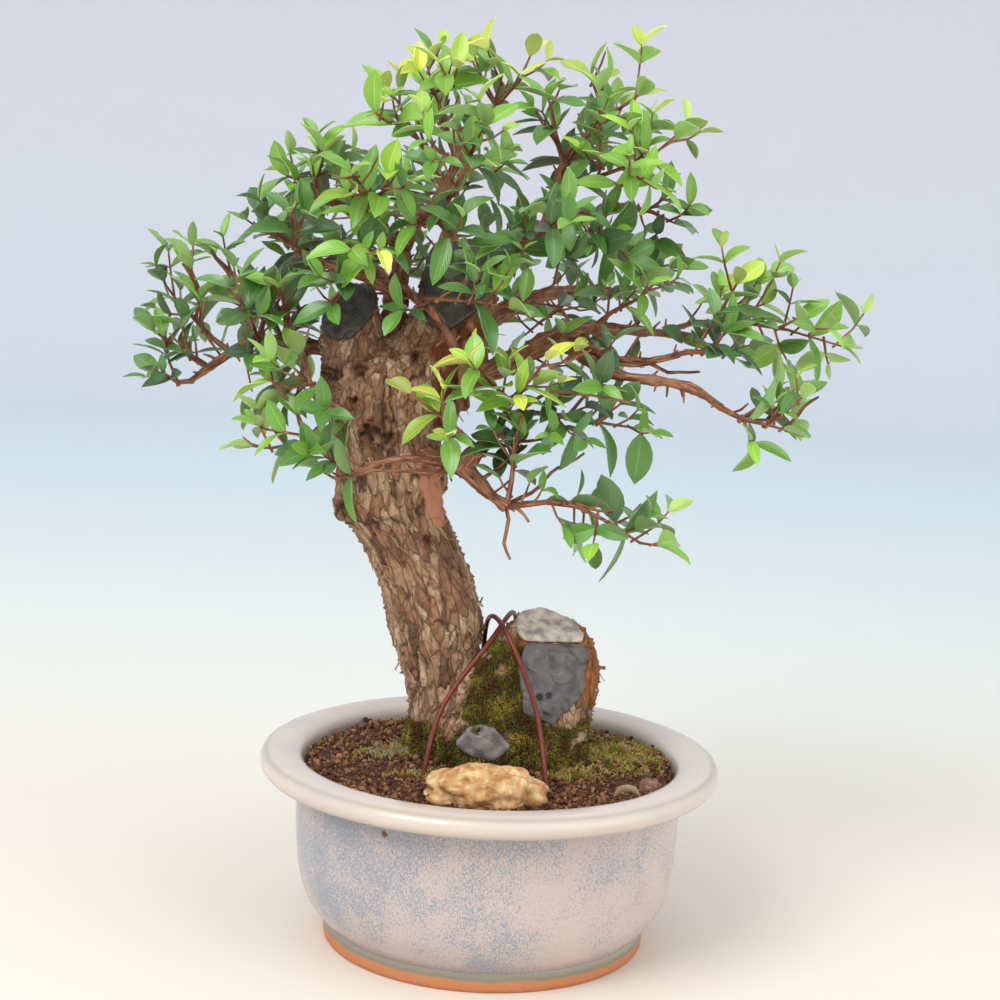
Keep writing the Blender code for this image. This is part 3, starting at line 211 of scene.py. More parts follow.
# Leafy sprays: the limb and the number of its point that each leaves from, how fresh its leaves are from
# 0, dark and old, to 1, pale and new, then its stems. A stem is the number of the point that it forks from
# on the first stem, and a route across, down and in depth.
SPRAYS = {
    "left_tip": ("left_low", 6, 0.1, [(0, [(178, 382, -11), (166, 375, -13), (156, 371, -14)])]),
    "left_end": ("left_low", 5, 0.15, [(0, [(187, 354, -13), (166, 339, -15), (152, 330, -16)])]),
    "left_rise": ("left_low", 4, 0.45, [
        (0, [(206, 333, -8), (196, 319, -8), (200, 290, -10), (190, 266, -12)]),
        (2, [(180, 306, 0), (168, 296, 4)]),
    ]),
    "left_high": ("left_low", 3, 0.6, [(0, [(266, 313, 6), (246, 287, 8), (226, 266, 8), (213, 254, 8)])]),
    "left_fore": ("left_low", 3, 0.3, [(0, [(250, 320, -15), (240, 300, -24), (226, 286, -30)])]),
    "left_inner": ("left_low", 2, 0.35, [(0, [(288, 316, -8), (282, 298, -14), (270, 284, -18)])]),
    "left_rear": ("left_low", 2, 0.25, [(0, [(276, 328, 26), (256, 314, 44), (238, 304, 56)])]),
    "left_under": ("left_low", 1, 0.4, [(0, [(305, 364, 0), (297, 382, -6), (286, 392, -8)])]),
    "side_up": ("left_mid", 2, 0.7, [
        (0, [(311, 384, -26), (304, 364, -29), (298, 352, -30)]),
        (1, [(288, 388, -29), (268, 380, -30)]),
    ]),
    "side_out": ("left_mid", 1, 0.55, [
        (0, [(322, 424, -29), (304, 442, -32), (272, 448, -32), (250, 446, -32)]),
    ]),
    "low_left_tip": ("low_left", 3, 0.35, [(0, [(352, 474, -42), (334, 478, -43), (316, 468, -43)])]),
    "upper_left_tip": ("left_upper", 4, 0.35, [
        (0, [(290, 244, -13), (275, 230, -14)]),
        (1, [(298, 228, -26), (306, 212, -34)]),
    ]),
    "upper_left_low": ("left_upper", 2, 0.1, [(0, [(342, 290, -22), (332, 306, -28)])]),
    "upper_left_rear": ("left_upper", 3, 0.3, [(0, [(318, 262, 14), (300, 248, 34), (290, 236, 46)])]),
    "crown_left_top": ("crown_left_out", 3, 0.75, [
        (0, [(316, 182, -8), (318, 162, -10), (322, 148, -12)]),
        (1, [(300, 180, -9), (286, 176, -10)]),
    ]),
    "crown_left_fore": ("crown_left_out", 1, 0.6, [
        (0, [(370, 208, -20), (364, 190, -42), (352, 172, -54)]),
        (1, [(384, 190, -38), (388, 172, -48)]),
    ]),
    "crown_left_rear": ("crown_left_out", 2, 0.4, [(0, [(330, 198, 28), (314, 182, 52), (300, 172, 66)])]),
    "top_left": ("crown_mid", 2, 0.85, [
        (0, [(430, 158, 8), (410, 126, 4), (398, 102, 2), (386, 88, 0)]),
        (2, [(388, 122, -16), (374, 112, -22)]),
    ]),
    "top_peak": ("crown_mid", 3, 0.9, [
        (0, [(446, 124, 8), (434, 92, 6), (427, 64, 4)]),
        (2, [(452, 84, -8), (458, 66, -14)]),
    ]),
    "top_rear": ("crown_mid", 3, 0.6, [(0, [(448, 138, 30), (436, 112, 50), (430, 92, 60)])]),
    "crown_tip": ("crown_mid", 4, 0.9, [
        (0, [(496, 106, 8), (520, 80, 6), (531, 54, 4)]),
        (1, [(484, 88, 20), (486, 70, 24)]),
    ]),
    "front_top": ("crown_front", 2, 0.55, [
        (0, [(466, 166, -46), (476, 142, -56), (486, 124, -60)]),
        (1, [(440, 152, -56), (428, 140, -62)]),
    ]),
    "front_low": ("crown_front", 1, 0.35, [(0, [(440, 224, -32), (452, 238, -46), (470, 244, -54)])]),
    "front_left": ("crown_left", 2, 0.6, [(0, [(384, 256, -14), (366, 248, -34), (350, 250, -46)])]),
    "front_line": ("front_climb", 4, 0.5, [(0, [(440, 299, -34), (478, 302, -42), (512, 308, -46)])]),
    "front_right": ("crown_right", 3, 0.3, [
        (0, [(536, 236, -8), (552, 226, -32), (570, 212, -46)]),
        (1, [(522, 252, -28), (528, 268, -40)]),
    ]),
    "mid_top": ("crown_right_up", 2, 0.5, [(0, [(556, 136, -4), (552, 112, -12), (548, 96, -16)])]),
    "top_right": ("crown_right_up", 3, 0.8, [
        (0, [(604, 118, 6), (626, 104, 4), (641, 94, 2)]),
        (1, [(596, 92, 12), (590, 76, 14)]),
    ]),
    "right_top": ("crown_right_up", 1, 0.7, [
        (0, [(600, 176, 0), (640, 162, -10), (678, 138, -14)]),
        (1, [(620, 186, -18), (644, 178, -26)]),
    ]),
    "right_rear": ("crown_right_up", 2, 0.45, [(0, [(584, 150, 30), (604, 130, 50), (624, 122, 60)])]),
    "right_high": ("crown_right_out", 2, 0.3, [(0, [(652, 212, 24), (676, 224, 22)])]),
    "right_inner": ("crown_right_out", 1, 0.25, [(0, [(600, 234, -4), (620, 250, -18), (632, 262, -22)])]),
    "right_rise": ("right_mid", 5, 0.5, [(0, [(612, 312, -12), (640, 298, -16), (654, 284, -18)])]),
    "right_cluster": ("right_mid", 8, 0.75, [
        (0, [(716, 320, 0), (728, 298, -2), (738, 282, -4)]),
        (1, [(742, 312, 14), (764, 304, 18)]),
    ]),
    "right_tip": ("right_mid", 7, 0.65, [
        (0, [(696, 322, 14), (738, 322, 16), (788, 330, 14), (844, 347, 12)]),
    ]),
    "right_third_tip": ("right_third", 3, 0.2, [(0, [(712, 352, -16), (732, 356, -18)])]),
    "right_low_tip": ("right_low", 5, 0.45, [
        (0, [(742, 419, -34), (768, 425, -35), (786, 430, -36)]),
        (1, [(762, 404, -26), (776, 390, -22)]),
        (2, [(790, 408, -44), (804, 396, -48)]),
    ]),
    "centre_up": ("low_right_up", 3, 0.95, [
        (0, [(510, 400, -34), (532, 378, -40), (548, 358, -42)]),
        (1, [(490, 382, -40), (474, 362, -43)]),
    ]),
    "centre_right": ("low_right_up", 3, 0.3, [
        (0, [(526, 412, -22), (568, 416, -20), (608, 424, -20), (636, 428, -20)]),
        (2, [(584, 396, -26), (596, 386, -28)]),
    ]),
    "centre_drop": ("low_right", 4, 0.2, [(0, [(512, 478, -34), (514, 452, -36), (519, 430, -38)])]),
    "low_tip": ("low_right", 4, 0.5, [
        (0, [(546, 502, -33), (576, 506, -34), (604, 520, -35), (640, 543, -36), (660, 546, -36)]),
    ]),
    "trunk_front": ("low_right_up", 1, 0.95, [(0, [(456, 428, -42), (430, 408, -47), (408, 392, -49)])]),
    "rear": ("back_mid", 3, 0.5, [
        (0, [(446, 190, 80), (438, 164, 84)]),
        (1, [(476, 180, 84), (500, 168, 88)]),
        (1, [(420, 196, 88), (398, 190, 92)]),
    ]),
    "rear_left": ("back_left", 2, 0.4, [
        (0, [(334, 246, 80), (318, 228, 84), (300, 222, 86)]),
        (1, [(340, 268, 92), (330, 286, 98)]),
    ]),
    "rear_right": ("back_right", 3, 0.4, [
        (0, [(646, 282, 80), (672, 268, 82)]),
        (1, [(622, 258, 84), (598, 236, 86)]),
    ]),
    "rear_low": ("back_right", 2, 0.35, [
        (0, [(560, 308, 78), (540, 322, 86), (524, 336, 90)]),
        (1, [(576, 330, 90), (588, 348, 94)]),
    ]),
    "rear_top": ("back_mid", 2, 0.45, [
        (0, [(470, 252, 80), (500, 238, 90), (528, 230, 94)]),
        (1, [(456, 272, 92), (436, 284, 96)]),
    ]),
}

# Twigs and leaves of the frame, in millimetres
FIT_GAP = 0.3
STEM_RADIUS = 1.6
SHOOT_RADIUS = 1.1
TIP_RADIUS = 0.8
SEAT_STEP = 0.25
SHOOT_LENGTH = 15
LONG_STEM = 60
BEND_STEPS = (0, 5, -5, 10, -10, 15, -15)
LEAF_SPACING = 17
LEAF_TIP_INSET = 1.2
LEAF_CLEAR = 2.2
PROXY_STATIONS = ((0.36, 1.0, 1.0), (0.7, 0.76, 1.0))
LEAF_SWINGS = (0, 28, -28, 56, -56)
MOST_PAIRS = 2

# Fine shoots that only the looks have, in millimetres
FINE_RADIUS = 0.75
SHOOT_CLEAR = 0.7
STEM_SINK = 2.5
# Where the trunk and the stubs show between the leaves: across, down and reach in picture points
TRUNK_IN_SIGHT = [(385, 400, 58), (352, 325, 36), (452, 300, 36), (395, 500, 70)]
LIMB_BARE = 0.3  # share of a bare branch next to the trunk that stays free of shoots

# Tie wire: across, down and depth
WIRES = {
    "left": [
        (420, 812, -36), (422, 781, -35), (430, 742, -28), (437, 716, -24), (456, 684, -18), (480, 655, -14),
        (497, 633, -9), (505, 620, -1), (510, 612, 10), (515, 611, 24), (518, 630, 38), (522, 690, 46),
        (524, 752, 46),
    ],
    "right": [
        (548, 820, -47), (547, 788, -46), (543, 760, -41), (541, 730, -33), (531, 692, -27), (518, 656, -20),
        (506, 630, -14), (497, 616, -2), (489, 614, 12), (484, 640, 32), (482, 700, 42), (482, 752, 44),
    ],
}
WIRE_STEP = 7
WIRE_CLEARANCE = 0.8
INSIDE_LEAN = -0.5
DEEPEST_INSIDE = 3

# Soil: x, y, spread and rise of each mound in millimetres
SOIL_MOUNDS = [(4, 8, 46, 7), (58, 16, 26, 8), (-52, 24, 30, 2)]
SOIL_ROUGHNESS = 1.2
SOIL_GRAIN = 14
# Patches of dry moss and lichen: x, y, half width and half depth
SOIL_PATCHES = [
    (58, 6, 30, 22), (40, -22, 16, 8), (-48, 6, 18, 12), (78, 20, 14, 22), (0, 60, 34, 16), (-30, -30, 14, 7)
]
SOIL_PATCH_REACH = 88
SOIL_FLOOR = 11.3  # height of the soil's underside in millimetres
SOIL_INSIDE = 90.5  # reach of the soil halfway up the pot, in millimetres
SOIL_RINGS = 44
SOIL_SIDES = 150
CRUMB_SIZES = (0.6, 0.8, 1, 1, 1.3, 1.6, 2.4)
# The pebble: its place and its half sizes in millimetres. The husk: the places along it
PEBBLE = (650, 787, -40)
PEBBLE_SIZE = (5.4, 4.6, 4.4)
HUSK = [(614, 796, -52), (622, 789, -54), (632, 789, -54), (640, 796, -52)]

# How high the moss climbs on the wood, in millimetres: on the trunk, how much higher between the wires and
# how much lower at the sawn end, each with the places across between which it changes, and its edge's height
MOSS_FOOT = 86
MOSS_TOP = 118
MOSS_CLIMB = (42, 448, 492)
MOSS_DROP = (36, 525, 560)
MOSS_FADE = 34

# Length, width and lift of the loose bark: least and most, the first two in millimetres
BARK_FLAKE = ((2, 6), (1, 3), (0.02, 0.1))
BARK_STRING = ((5, 11), (0.5, 1.1), (0.15, 0.8))
FLAKES_FROM = 92  # height in millimetres

# Pot: how far out the drain holes lie, their radius, and the width of the foot ring, in millimetres
DRAIN_REACH = 38
DRAIN_RADIUS = 8
FOOT_RING = 8

# Stage, in metres: how tight the floor turns up into the backdrop, how high that is, and each light's width
# and place
FLOOR_BEND = 0.9
BACKDROP_HEIGHT = 3.4
BEND_SIDES = 8
LIGHTS = {"key": (1.1, (-0.9, -1.1, 1.5)), "fill": (1.3, (1.2, -0.9, 0.8))}

# Places on the front of the wood: across and down, then the reach in picture points
KNOTS = [
    (336, 374, 17), (359, 371, 15), (371, 432, 19), (387, 438, 14), (354, 402, 9), (353, 504, 14),
    (414, 356, 11), (428, 540, 9),
]
PASTE_PITS = [(477, 730, 8), (540, 697, 4), (549, 696, 4)]
RED_BARK = [(452, 388, 28), (462, 360, 26), (440, 352, 16), (446, 420, 20), (470, 335, 26)]
PEELED_BARK = [(424, 455, 10), (427, 467, 13), (430, 482, 15), (434, 496, 14), (437, 510, 12), (440, 521, 8)]
SAWN_WOOD = [(560, 650, 44), (530, 652, 30), (590, 660, 34), (596, 690, 24)]
# The shelf of old bark that stands out over the trunk's lower half, with painted shadow under its edge: top,
# edge and reach across
BARK_SHELF = (448, 512, 425)


def srgb(code):
    """A colour from its sRGB hex code, turned linear."""
    values = [int(code[i:i + 2], 16) / 255 for i in (1, 3, 5)]
    return tuple(v / 12.92 if v <= 0.04045 else ((v + 0.055) / 1.055) ** 2.4 for v in values)


def length(name, description, default):
    """A size in millimetres, kept in metres."""
    return FloatProperty(
        name=name, description=description, default=default * MM, subtype="DISTANCE", unit="LENGTH",
        precision=5,
    )


def colour(name, description, code):
    return FloatVectorProperty(
        name=name, description=description, default=srgb(code), size=3, subtype="COLOR", min=0, max=1
    )


def share(name, description, default):
    return FloatProperty(name=name, description=description, default=default, min=0, max=1, subtype="FACTOR")


def amount(name, description, default, unit="NONE"):
    return FloatProperty(name=name, description=description, default=default, min=0, unit=unit)


def count(name, description, default):
    return IntProperty(name=name, description=description, default=default, min=0)


# Sizes and colours that a user would change


class PotSettings(PropertyGroup):
    radius: length("Radius", "Half the width over the lip", 115)
    height: length("Height", "From the foot to the top of the lip", 96)
    overhang: length("Lip overhang", "How far the lip stands out past the wall", 18.5)
    lip: length("Lip thickness", "How thick the rounded lip is", 12)
    wall: length("Wall", "How thick the wall is", 6)
    foot_radius: length("Foot radius", "Half the width of the unglazed foot", 80.5)
    foot_height: length("Foot height", "How high the bare clay of the foot stands", 6)
    speck: length("Speck size", "Width of the blue flecks in the glaze", 0.6)
    chip: length("Chip", "Reach of the brown chip under the lip", 2.2)
    sides: count("Sides", "Steps round the pot", 160)
    cream: colour("Cream", "Glaze where it lies thick, on the lip", "#D5C9BD")
    lilac: colour("Lilac", "Glaze on the wall", "#C6BABB")
    warm: colour("Warm", "Glaze where the clay glows through", "#D0BEB4")
    fleck: colour("Fleck", "Blue flecks and runs", "#7E93A9")
    # Also the colour of painted shade under the lip, in the groove above the foot and on the inner wall
    glaze_line_and_shade: colour("Glaze line", "Where the glaze gathers or thins at a corner", "#8B8672")
    clay: colour("Clay", "Bare terracotta of the foot", "#DA8E60")


class SoilSettings(PropertyGroup):
    radius: length("Radius", "Reach of the soil at the lip", 91.6)
    height: length("Height", "Height of the soil at the wall", 88)
    grain: length("Grain", "Mean size of a crumb", 1.35)
    grains: count("Crumbs", "How many loose crumbs lie on top", 7500)
    dark: colour("Damp soil", "Soil between the crumbs", "#3A2014")
    brown: colour("Crumb", "Most crumbs", "#784828")
    pale: colour("Dry crumb", "The driest crumbs", "#AC8058")


class MossSettings(PropertyGroup):
    frond: length("Frond", "Length of a moss frond", 2.4)
    width: length("Frond width", "Half the width of a frond at its root", 0.5)
    on_wood: count("Fronds on the wood", "How many fronds grow on the stump and trunk", 28000)
    on_soil: count("Fronds on the soil", "How many fronds grow on the soil", 8000)
    green: colour("Moss", "Living moss", "#737C22")
    gold: colour("Gold moss", "Dry tips", "#D2BA4C")
    rust: colour("Rust moss", "Dead patches", "#8A5A2C")
    lichen: colour("Lichen", "Pale dried growth on the soil", "#ABA182")


class WoodSettings(PropertyGroup):
    voxel: length("Voxel", "Fineness of the wood's mesh", 1.05)
    relief: length("Relief", "Height of the broad swellings", 1.5)
    broad: length("Broad grain", "Width of the broad swellings", 22)
    fine: length("Fine grain", "Width of the finer roughness", 8)
    plate: length("Bark plate", "Width of a plate of bark", 7.5)
    crack: length("Crack depth", "How deep the cracks run", 1.1)
    flakes: count("Flakes", "How many loose flakes and strings hang off the bark", 480)
    pale: colour("Pale bark", "Freshly bared plates", "#D9BA98")
    tan: colour("Tan bark", "Face of the bark plates", "#A67E5E")
    grey: colour("Grey bark", "Weathered plates", "#6E5340")
    # Also painted shade in the knot holes and painted shadow under the edge of the bark shelf
    dark: colour("Crack", "Bottom of the cracks", "#38210F")
    red: colour("Red bark", "Fibrous bark at the forks", "#7A4226")
    raw: colour("Raw wood", "Wood beside the saw cuts", "#A96A38")
    scar: colour("Scar", "Live wood where the bark has peeled", "#C48A6C")
    mossy: colour("Under moss", "Damp bark under the moss", "#39301A")
    twig: colour("Twig bark", "Red-brown bark of the branches", "#824C35")
    peeling: colour("Peeling bark", "Dry strings of bark on the branches", "#C8986F")


class PasteSettings(PropertyGroup):
    voxel: length("Voxel", "Fineness of the paste's mesh", 0.6)
    dent: length("Dent", "Depth of the thumbed dents", 1.4)
    dark: colour("Old paste", "Paste on the upper cuts", "#45423F")
    grey: colour("Paste", "Paste on the stump's front", "#524F50")
    worn: colour("Worn paste", "Paste on the knob", "#7C7776")
    pale: colour("Dry paste", "Paste on top of the stump", "#AEA297")


class WireSettings(PropertyGroup):
    radius: length("Radius", "Half the wire's thickness", 1.25)
    sides: count("Sides", "Faces round the wire", 14)
    coating: colour("Coating", "Copper-brown coating", "#7E3B2E")


class RockSettings(PropertyGroup):
    nodule: length("Nodule", "Width of a nodule", 10)
    rise: length("Rise", "How far a nodule stands out", 1.2)
    ochre: colour("Ochre", "Face of the rock", "#D0A470")
    pale: colour("Pale", "Tops of the nodules", "#E2C797")
    # Partly the stone's stain, partly painted shade in the clefts
    rust: colour("Rust", "Clefts between the nodules", "#A87440")


class LeafSettings(PropertyGroup):
    length: length("Length", "Length of a full-grown leaf", 23)
    width: share("Width share", "Leaf width as a share of its length", 0.42)
    fullness: amount("Fullness", "Width of the blade beside its plain outline", 1.25)
    thickness: length("Thickness", "Thickness of the blade", 0.35)
    spacing: length("Shoot spacing", "Distance between the fine shoots along a twig", 7.5)
    limb_spacing: length("Limb shoots", "Distance between the fine shoots along a bare branch", 11)
    shoot: length("Fine shoot", "Mean length of a fine shoot", 19)
    pairs: length("Pair spacing", "Distance between the leaf pairs of a fine shoot", 8)
    bare: share("Bare shoots", "How many of the fine shoots have no leaves", 0.22)
    old: colour("Old leaf", "Dark leaves inside the crown", "#456148")
    grown: colour("Grown leaf", "Most leaves", "#4D8030")
    new: colour("New leaf", "Leaves at the tips", "#84B63A")
    bud: colour("Bud", "Unfolding leaves", "#D0D24C")


class StageSettings(PropertyGroup):
    radius: length("Radius", "Half the width of the floor", 3200)
    floor: colour("Floor", "Floor round the pot", "#EAE0D3")
    haze: colour("Haze", "Floor behind the pot", "#E6E8E0")
    middle: colour("Middle", "Backdrop behind the trunk", "#D9EAF0")
    top: colour("Top", "Backdrop behind the crown", "#E4E3EB")
    sky: amount("Sky", "Strength of the light from all round", 1.1)
    key: amount("Key light", "Power of the main soft light", 24, "POWER")
    fill: amount("Fill light", "Power of the fill light", 9, "POWER")


# Places


def seen(across, down, depth):
    """The point that shows at that place in the picture, depth millimetres behind the pot's middle."""
    sight = SIGHT_AHEAD * SIGHT_FOCUS
    sight = sight + SIGHT_RIGHT * (across - PICTURE_MIDDLE) + SIGHT_TOP * (PICTURE_MIDDLE - down)
    return (SIGHT_EYE + sight * ((depth - SIGHT_EYE.y) / sight.y)) * MM


def shown_at(point):
    """Where a point shows in the picture: across and down."""
    sight = point / MM - SIGHT_EYE
    scale = SIGHT_FOCUS / sight.dot(SIGHT_AHEAD)
    return PICTURE_MIDDLE + sight.dot(SIGHT_RIGHT) * scale, PICTURE_MIDDLE - sight.dot(SIGHT_TOP) * scale


def nearness(point, marks):
    """From 0 to 1, how close a point shows to the nearest of some marks in the picture."""
    across, down = shown_at(point)
    return max(max(0, 1 - math.hypot(across - x, down - y) / reach) for x, y, reach in marks)


def smoothstep(low, high, value):
    t = min(1, max(0, (value - low) / (high - low)))
    return t * t * (3 - 2 * t)


def waver(point, size):
    """Smooth chance from -1 to 1 that changes over that many millimetres."""
    return noise.noise(point / (size * MM))


def stray(point, size):
    """A direction of smooth chance that changes over that many millimetres."""
    return noise.noise_vector(point / (size * MM))


# Objects and meshes


def piece(name, mesh, finishes, slot, *nodes):
    """A finished piece that moves with the tree, with its nodes of the frame hidden."""
    obj = bpy.data.objects.new(name, mesh)
    bpy.context.scene.collection.objects.link(obj)
    for finish in finishes:
        mesh.materials.append(finish)
    mesh.shade_smooth()
    mesh.set_sharp_from_angle(angle=SHARP_ANGLE)
    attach(obj, BODY)
    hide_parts(*nodes)
    return obj


def mesh_of(bm, name):
    mesh = bpy.data.meshes.new(name)
    bm.to_mesh(mesh)
    bm.free()
    return mesh


def bm_of(mesh):
    bm = bmesh.new()
    bm.from_mesh(mesh)
    return bm


def swell(bm, mesh, moves):
    """Moves each corner out along its normal, and writes the shape back to its mesh."""
    for vert, move in zip(bm.verts, moves):
        vert.co += vert.normal * move
    bm.to_mesh(mesh)
    bm.free()


def gather(bm, part):
    """Adds one shape to another, and clears it."""
    mesh = mesh_of(part, "part")
    bm.from_mesh(mesh)
    bpy.data.meshes.remove(mesh)


def pile(parts, name):
    """One mesh of many small shapes, put together a handful at a time."""
    whole = bmesh.new()
    handful = bmesh.new()
    for number, part in enumerate(parts, 1):
        gather(handful, part)
        if number % HANDFUL == 0:
            gather(whole, handful)
            handful = bmesh.new()
    gather(whole, handful)
    return mesh_of(whole, name)


def remeshed(mesh, voxel):
    """The mesh rebuilt as one even skin round all that it holds."""
    obj = bpy.data.objects.new("remesh", mesh)
    bpy.context.scene.collection.objects.link(obj)
    skin = obj.modifiers.new("Skin", "REMESH")
    skin.mode = "VOXEL"
    skin.voxel_size = voxel
    graph = bpy.context.evaluated_depsgraph_get()
    result = bpy.data.meshes.new_from_object(obj.evaluated_get(graph))
    result.materials.clear()
    bpy.data.objects.remove(obj)
    bpy.data.meshes.remove(mesh)
    return result


def ring_frames(points):
    """A frame at each point of a route: its Z runs along the route, and its X turns as little as it can."""
    steps = [(b - a).normalized() for a, b in zip(points, points[1:])]
    along = [steps[0], *[(a + b).normalized() for a, b in zip(steps, steps[1:])], steps[-1]]
    side = Vector((1, 0, 0)) if abs(along[0].x) < 0.9 else Vector((0, 1, 0))
    frames = []
    for direction, point in zip(along, points):
        side = (side - direction * side.dot(direction)).normalized()
        turned_frame = Matrix((side, direction.cross(side), direction)).transposed().to_4x4()
        turned_frame.translation = point
        frames.append(turned_frame)
    return frames


def tube(points, widths, sides, fibrous=False):
    """A closed tube along the points, and its rings of corners from first to last."""
    bm = bmesh.new()
    if fibrous:
        bm.verts.layers.float_vector.new("fibre")
    frames = ring_frames(points)
    places = [place @ Matrix.Diagonal((*width, 1, 1)) for place, width in zip(frames, widths)]
    bmesh.ops.create_circle(bm, cap_ends=True, segments=sides, radius=1, matrix=places[0])
    top = bm.faces[:]
    rings = [bm.verts[:]]
    for before, after in zip(places, places[1:]):
        raised = bmesh.ops.extrude_face_region(bm, geom=top)["geom"]
        if len(rings) > 1:
            bmesh.ops.delete(bm, geom=top, context="FACES_ONLY")
        top = [part for part in raised if isinstance(part, bmesh.types.BMFace)]
        ring = [part for part in raised if isinstance(part, bmesh.types.BMVert)]
        bmesh.ops.transform(bm, matrix=after @ before.inverted(), verts=ring)
        rings.append(ring)
    bmesh.ops.recalc_face_normals(bm, faces=bm.faces)
    return bm, rings


def turned(profile, sides):
    """A solid turned round the Z axis from a profile of radius and height in metres."""
    bm = bmesh.new()
    corners = [bm.verts.new((radius, 0, height)) for radius, height in profile]
    edges = [bm.edges.new(pair) for pair in zip(corners, corners[1:])]
    bmesh.ops.spin(
        bm, geom=corners + edges, cent=(0, 0, 0), axis=(0, 0, 1), angle=math.tau, steps=sides, use_merge=True
    )
    bmesh.ops.remove_doubles(bm, verts=bm.verts, dist=1e-6)
    bmesh.ops.recalc_face_normals(bm, faces=bm.faces)
    return bm


def smooth_route(places, step):
    """Points along a smooth curve through the places, about a step apart."""
    ends = [2 * places[0] - places[1], *places, 2 * places[-1] - places[-2]]
    route = []
    for before, start, end, after in zip(ends, ends[1:], ends[2:], ends[3:]):
        steps = max(1, round((end - start).length / step))
        bend = 2 * before - 5 * start + 4 * end - after
        twist = 3 * start - before - 3 * end + after
        for i in range(steps):
            t = i / steps
            route.append((2 * start + (end - before) * t + bend * t**2 + twist * t**3) / 2)
    return [*route, places[-1]]


def route_length(points):
    return sum((b - a).length for a, b in zip(points, points[1:]))


def some_side(along, draw):
    """A direction across another, drawn by chance."""
    return Matrix.Rotation(draw.uniform(0, math.tau), 3, along) @ along.orthogonal().normalized()


def walk(points, distance):
    """The point at that distance along a route, with the direction there."""
    for a, b in zip(points, points[1:]):
        step = (b - a).length
        if distance <= step:
            return a.lerp(b, distance / step), (b - a).normalized()
        distance -= step
    return points[-1].copy(), (points[-1] - points[-2]).normalized()


# Materials

# Real widths of the patterns
GLAZE_POOL = 50 * MM
GLAZE_CLOUD = 26 * MM
CLAY_GRIT = 1.2 * MM
PLATE_DRIFT = 5 * MM
PLATE = 4.8 * MM
CRACKLE = 2 * MM
BARK_GRAIN = 1.4 * MM
BARK_PATCH = 18 * MM
BRANCH_STRING = 1.1 * MM
BRANCH_PATCH = 9 * MM
PASTE_SMEAR = 6 * MM
PASTE_DUST = 1.2 * MM
WIRE_WEAR = 4 * MM
ROCK_VEIN = 5 * MM
ROCK_GRIT = 0.9 * MM
MESH_WEAVE = 1.5 * MM
# How deep the finest reliefs run
GLAZE_RELIEF = 0.4 * MM
BARK_RELIEF = 0.8 * MM
BRANCH_RELIEF = 0.9 * MM
PASTE_RELIEF = 0.8 * MM
WIRE_RELIEF = 0.1 * MM
ROCK_RELIEF = 0.3 * MM
LEAF_RELIEF = 0.04 * MM
MESH_RELIEF = 0.3 * MM
# Both for what lies loose: the width of the grit, then its depth
SOIL_GRIT = (1.3 * MM, 0.8 * MM)
CRUMB_GRIT = (0.9 * MM, 0.4 * MM)
NUT_GRIT = (1 * MM, 0.6 * MM)
HUSK_GRIT = (0.8 * MM, 0.3 * MM)
MOSS_GRIT = (1.2 * MM, 0.3 * MM)
# How the glaze lies: how far its edges wander, and the line under the lip, thin glaze with painted shade
GLAZE_WANDER = 4 * MM
CORNER_LINE_AND_SHADE = 0.9 * MM
DUST = "#A58A66"
# What a Mix node says to mix colours
COLOURS = {"out": 2, "data_type": "RGBA"}


def join(tree, node, values):
    """Sets a node's inputs, or links them where an output is given."""
    for key, value in values.items():
        socket = node.inputs[key]
        if isinstance(value, bpy.types.NodeSocket):
            tree.links.new(value, socket)
        else:
            socket.default_value = (*value, 1) if socket.type == "RGBA" else value


def add_node(tree, kind, values=None, stops=(), out=0, **settings):
    """The output of a new shader node, with its inputs and its other settings."""
    made = tree.nodes.new("ShaderNode" + kind)
    for key, value in settings.items():
        setattr(made, key, value)
    join(tree, made, values or {})
    for number, (place, tone) in enumerate(stops):
        elements = made.color_ramp.elements
        element = elements[number] if number < 2 else elements.new(1)
        element.position = place
        element.color = (*tone, 1)
    return made.outputs[out]


def dressed(made, values):
    """The material, with its shader's inputs set or linked."""
    join(made.node_tree, made.node_tree.nodes["Principled BSDF"], values)
    return made


def new_material(name, roughness, **sockets):
    """A material with its shader's own values set, and what adds a node to it."""
    made = bpy.data.materials.new(name)
    made.use_nodes = True
    values = {key.replace("_", " "): value for key, value in sockets.items()}
    return dressed(made, {"Roughness": roughness, **values}), partial(add_node, made.node_tree)


def shaded(tone, amount):
    """A colour made darker or brighter."""
    return tuple(min(1, amount * part) for part in tone)


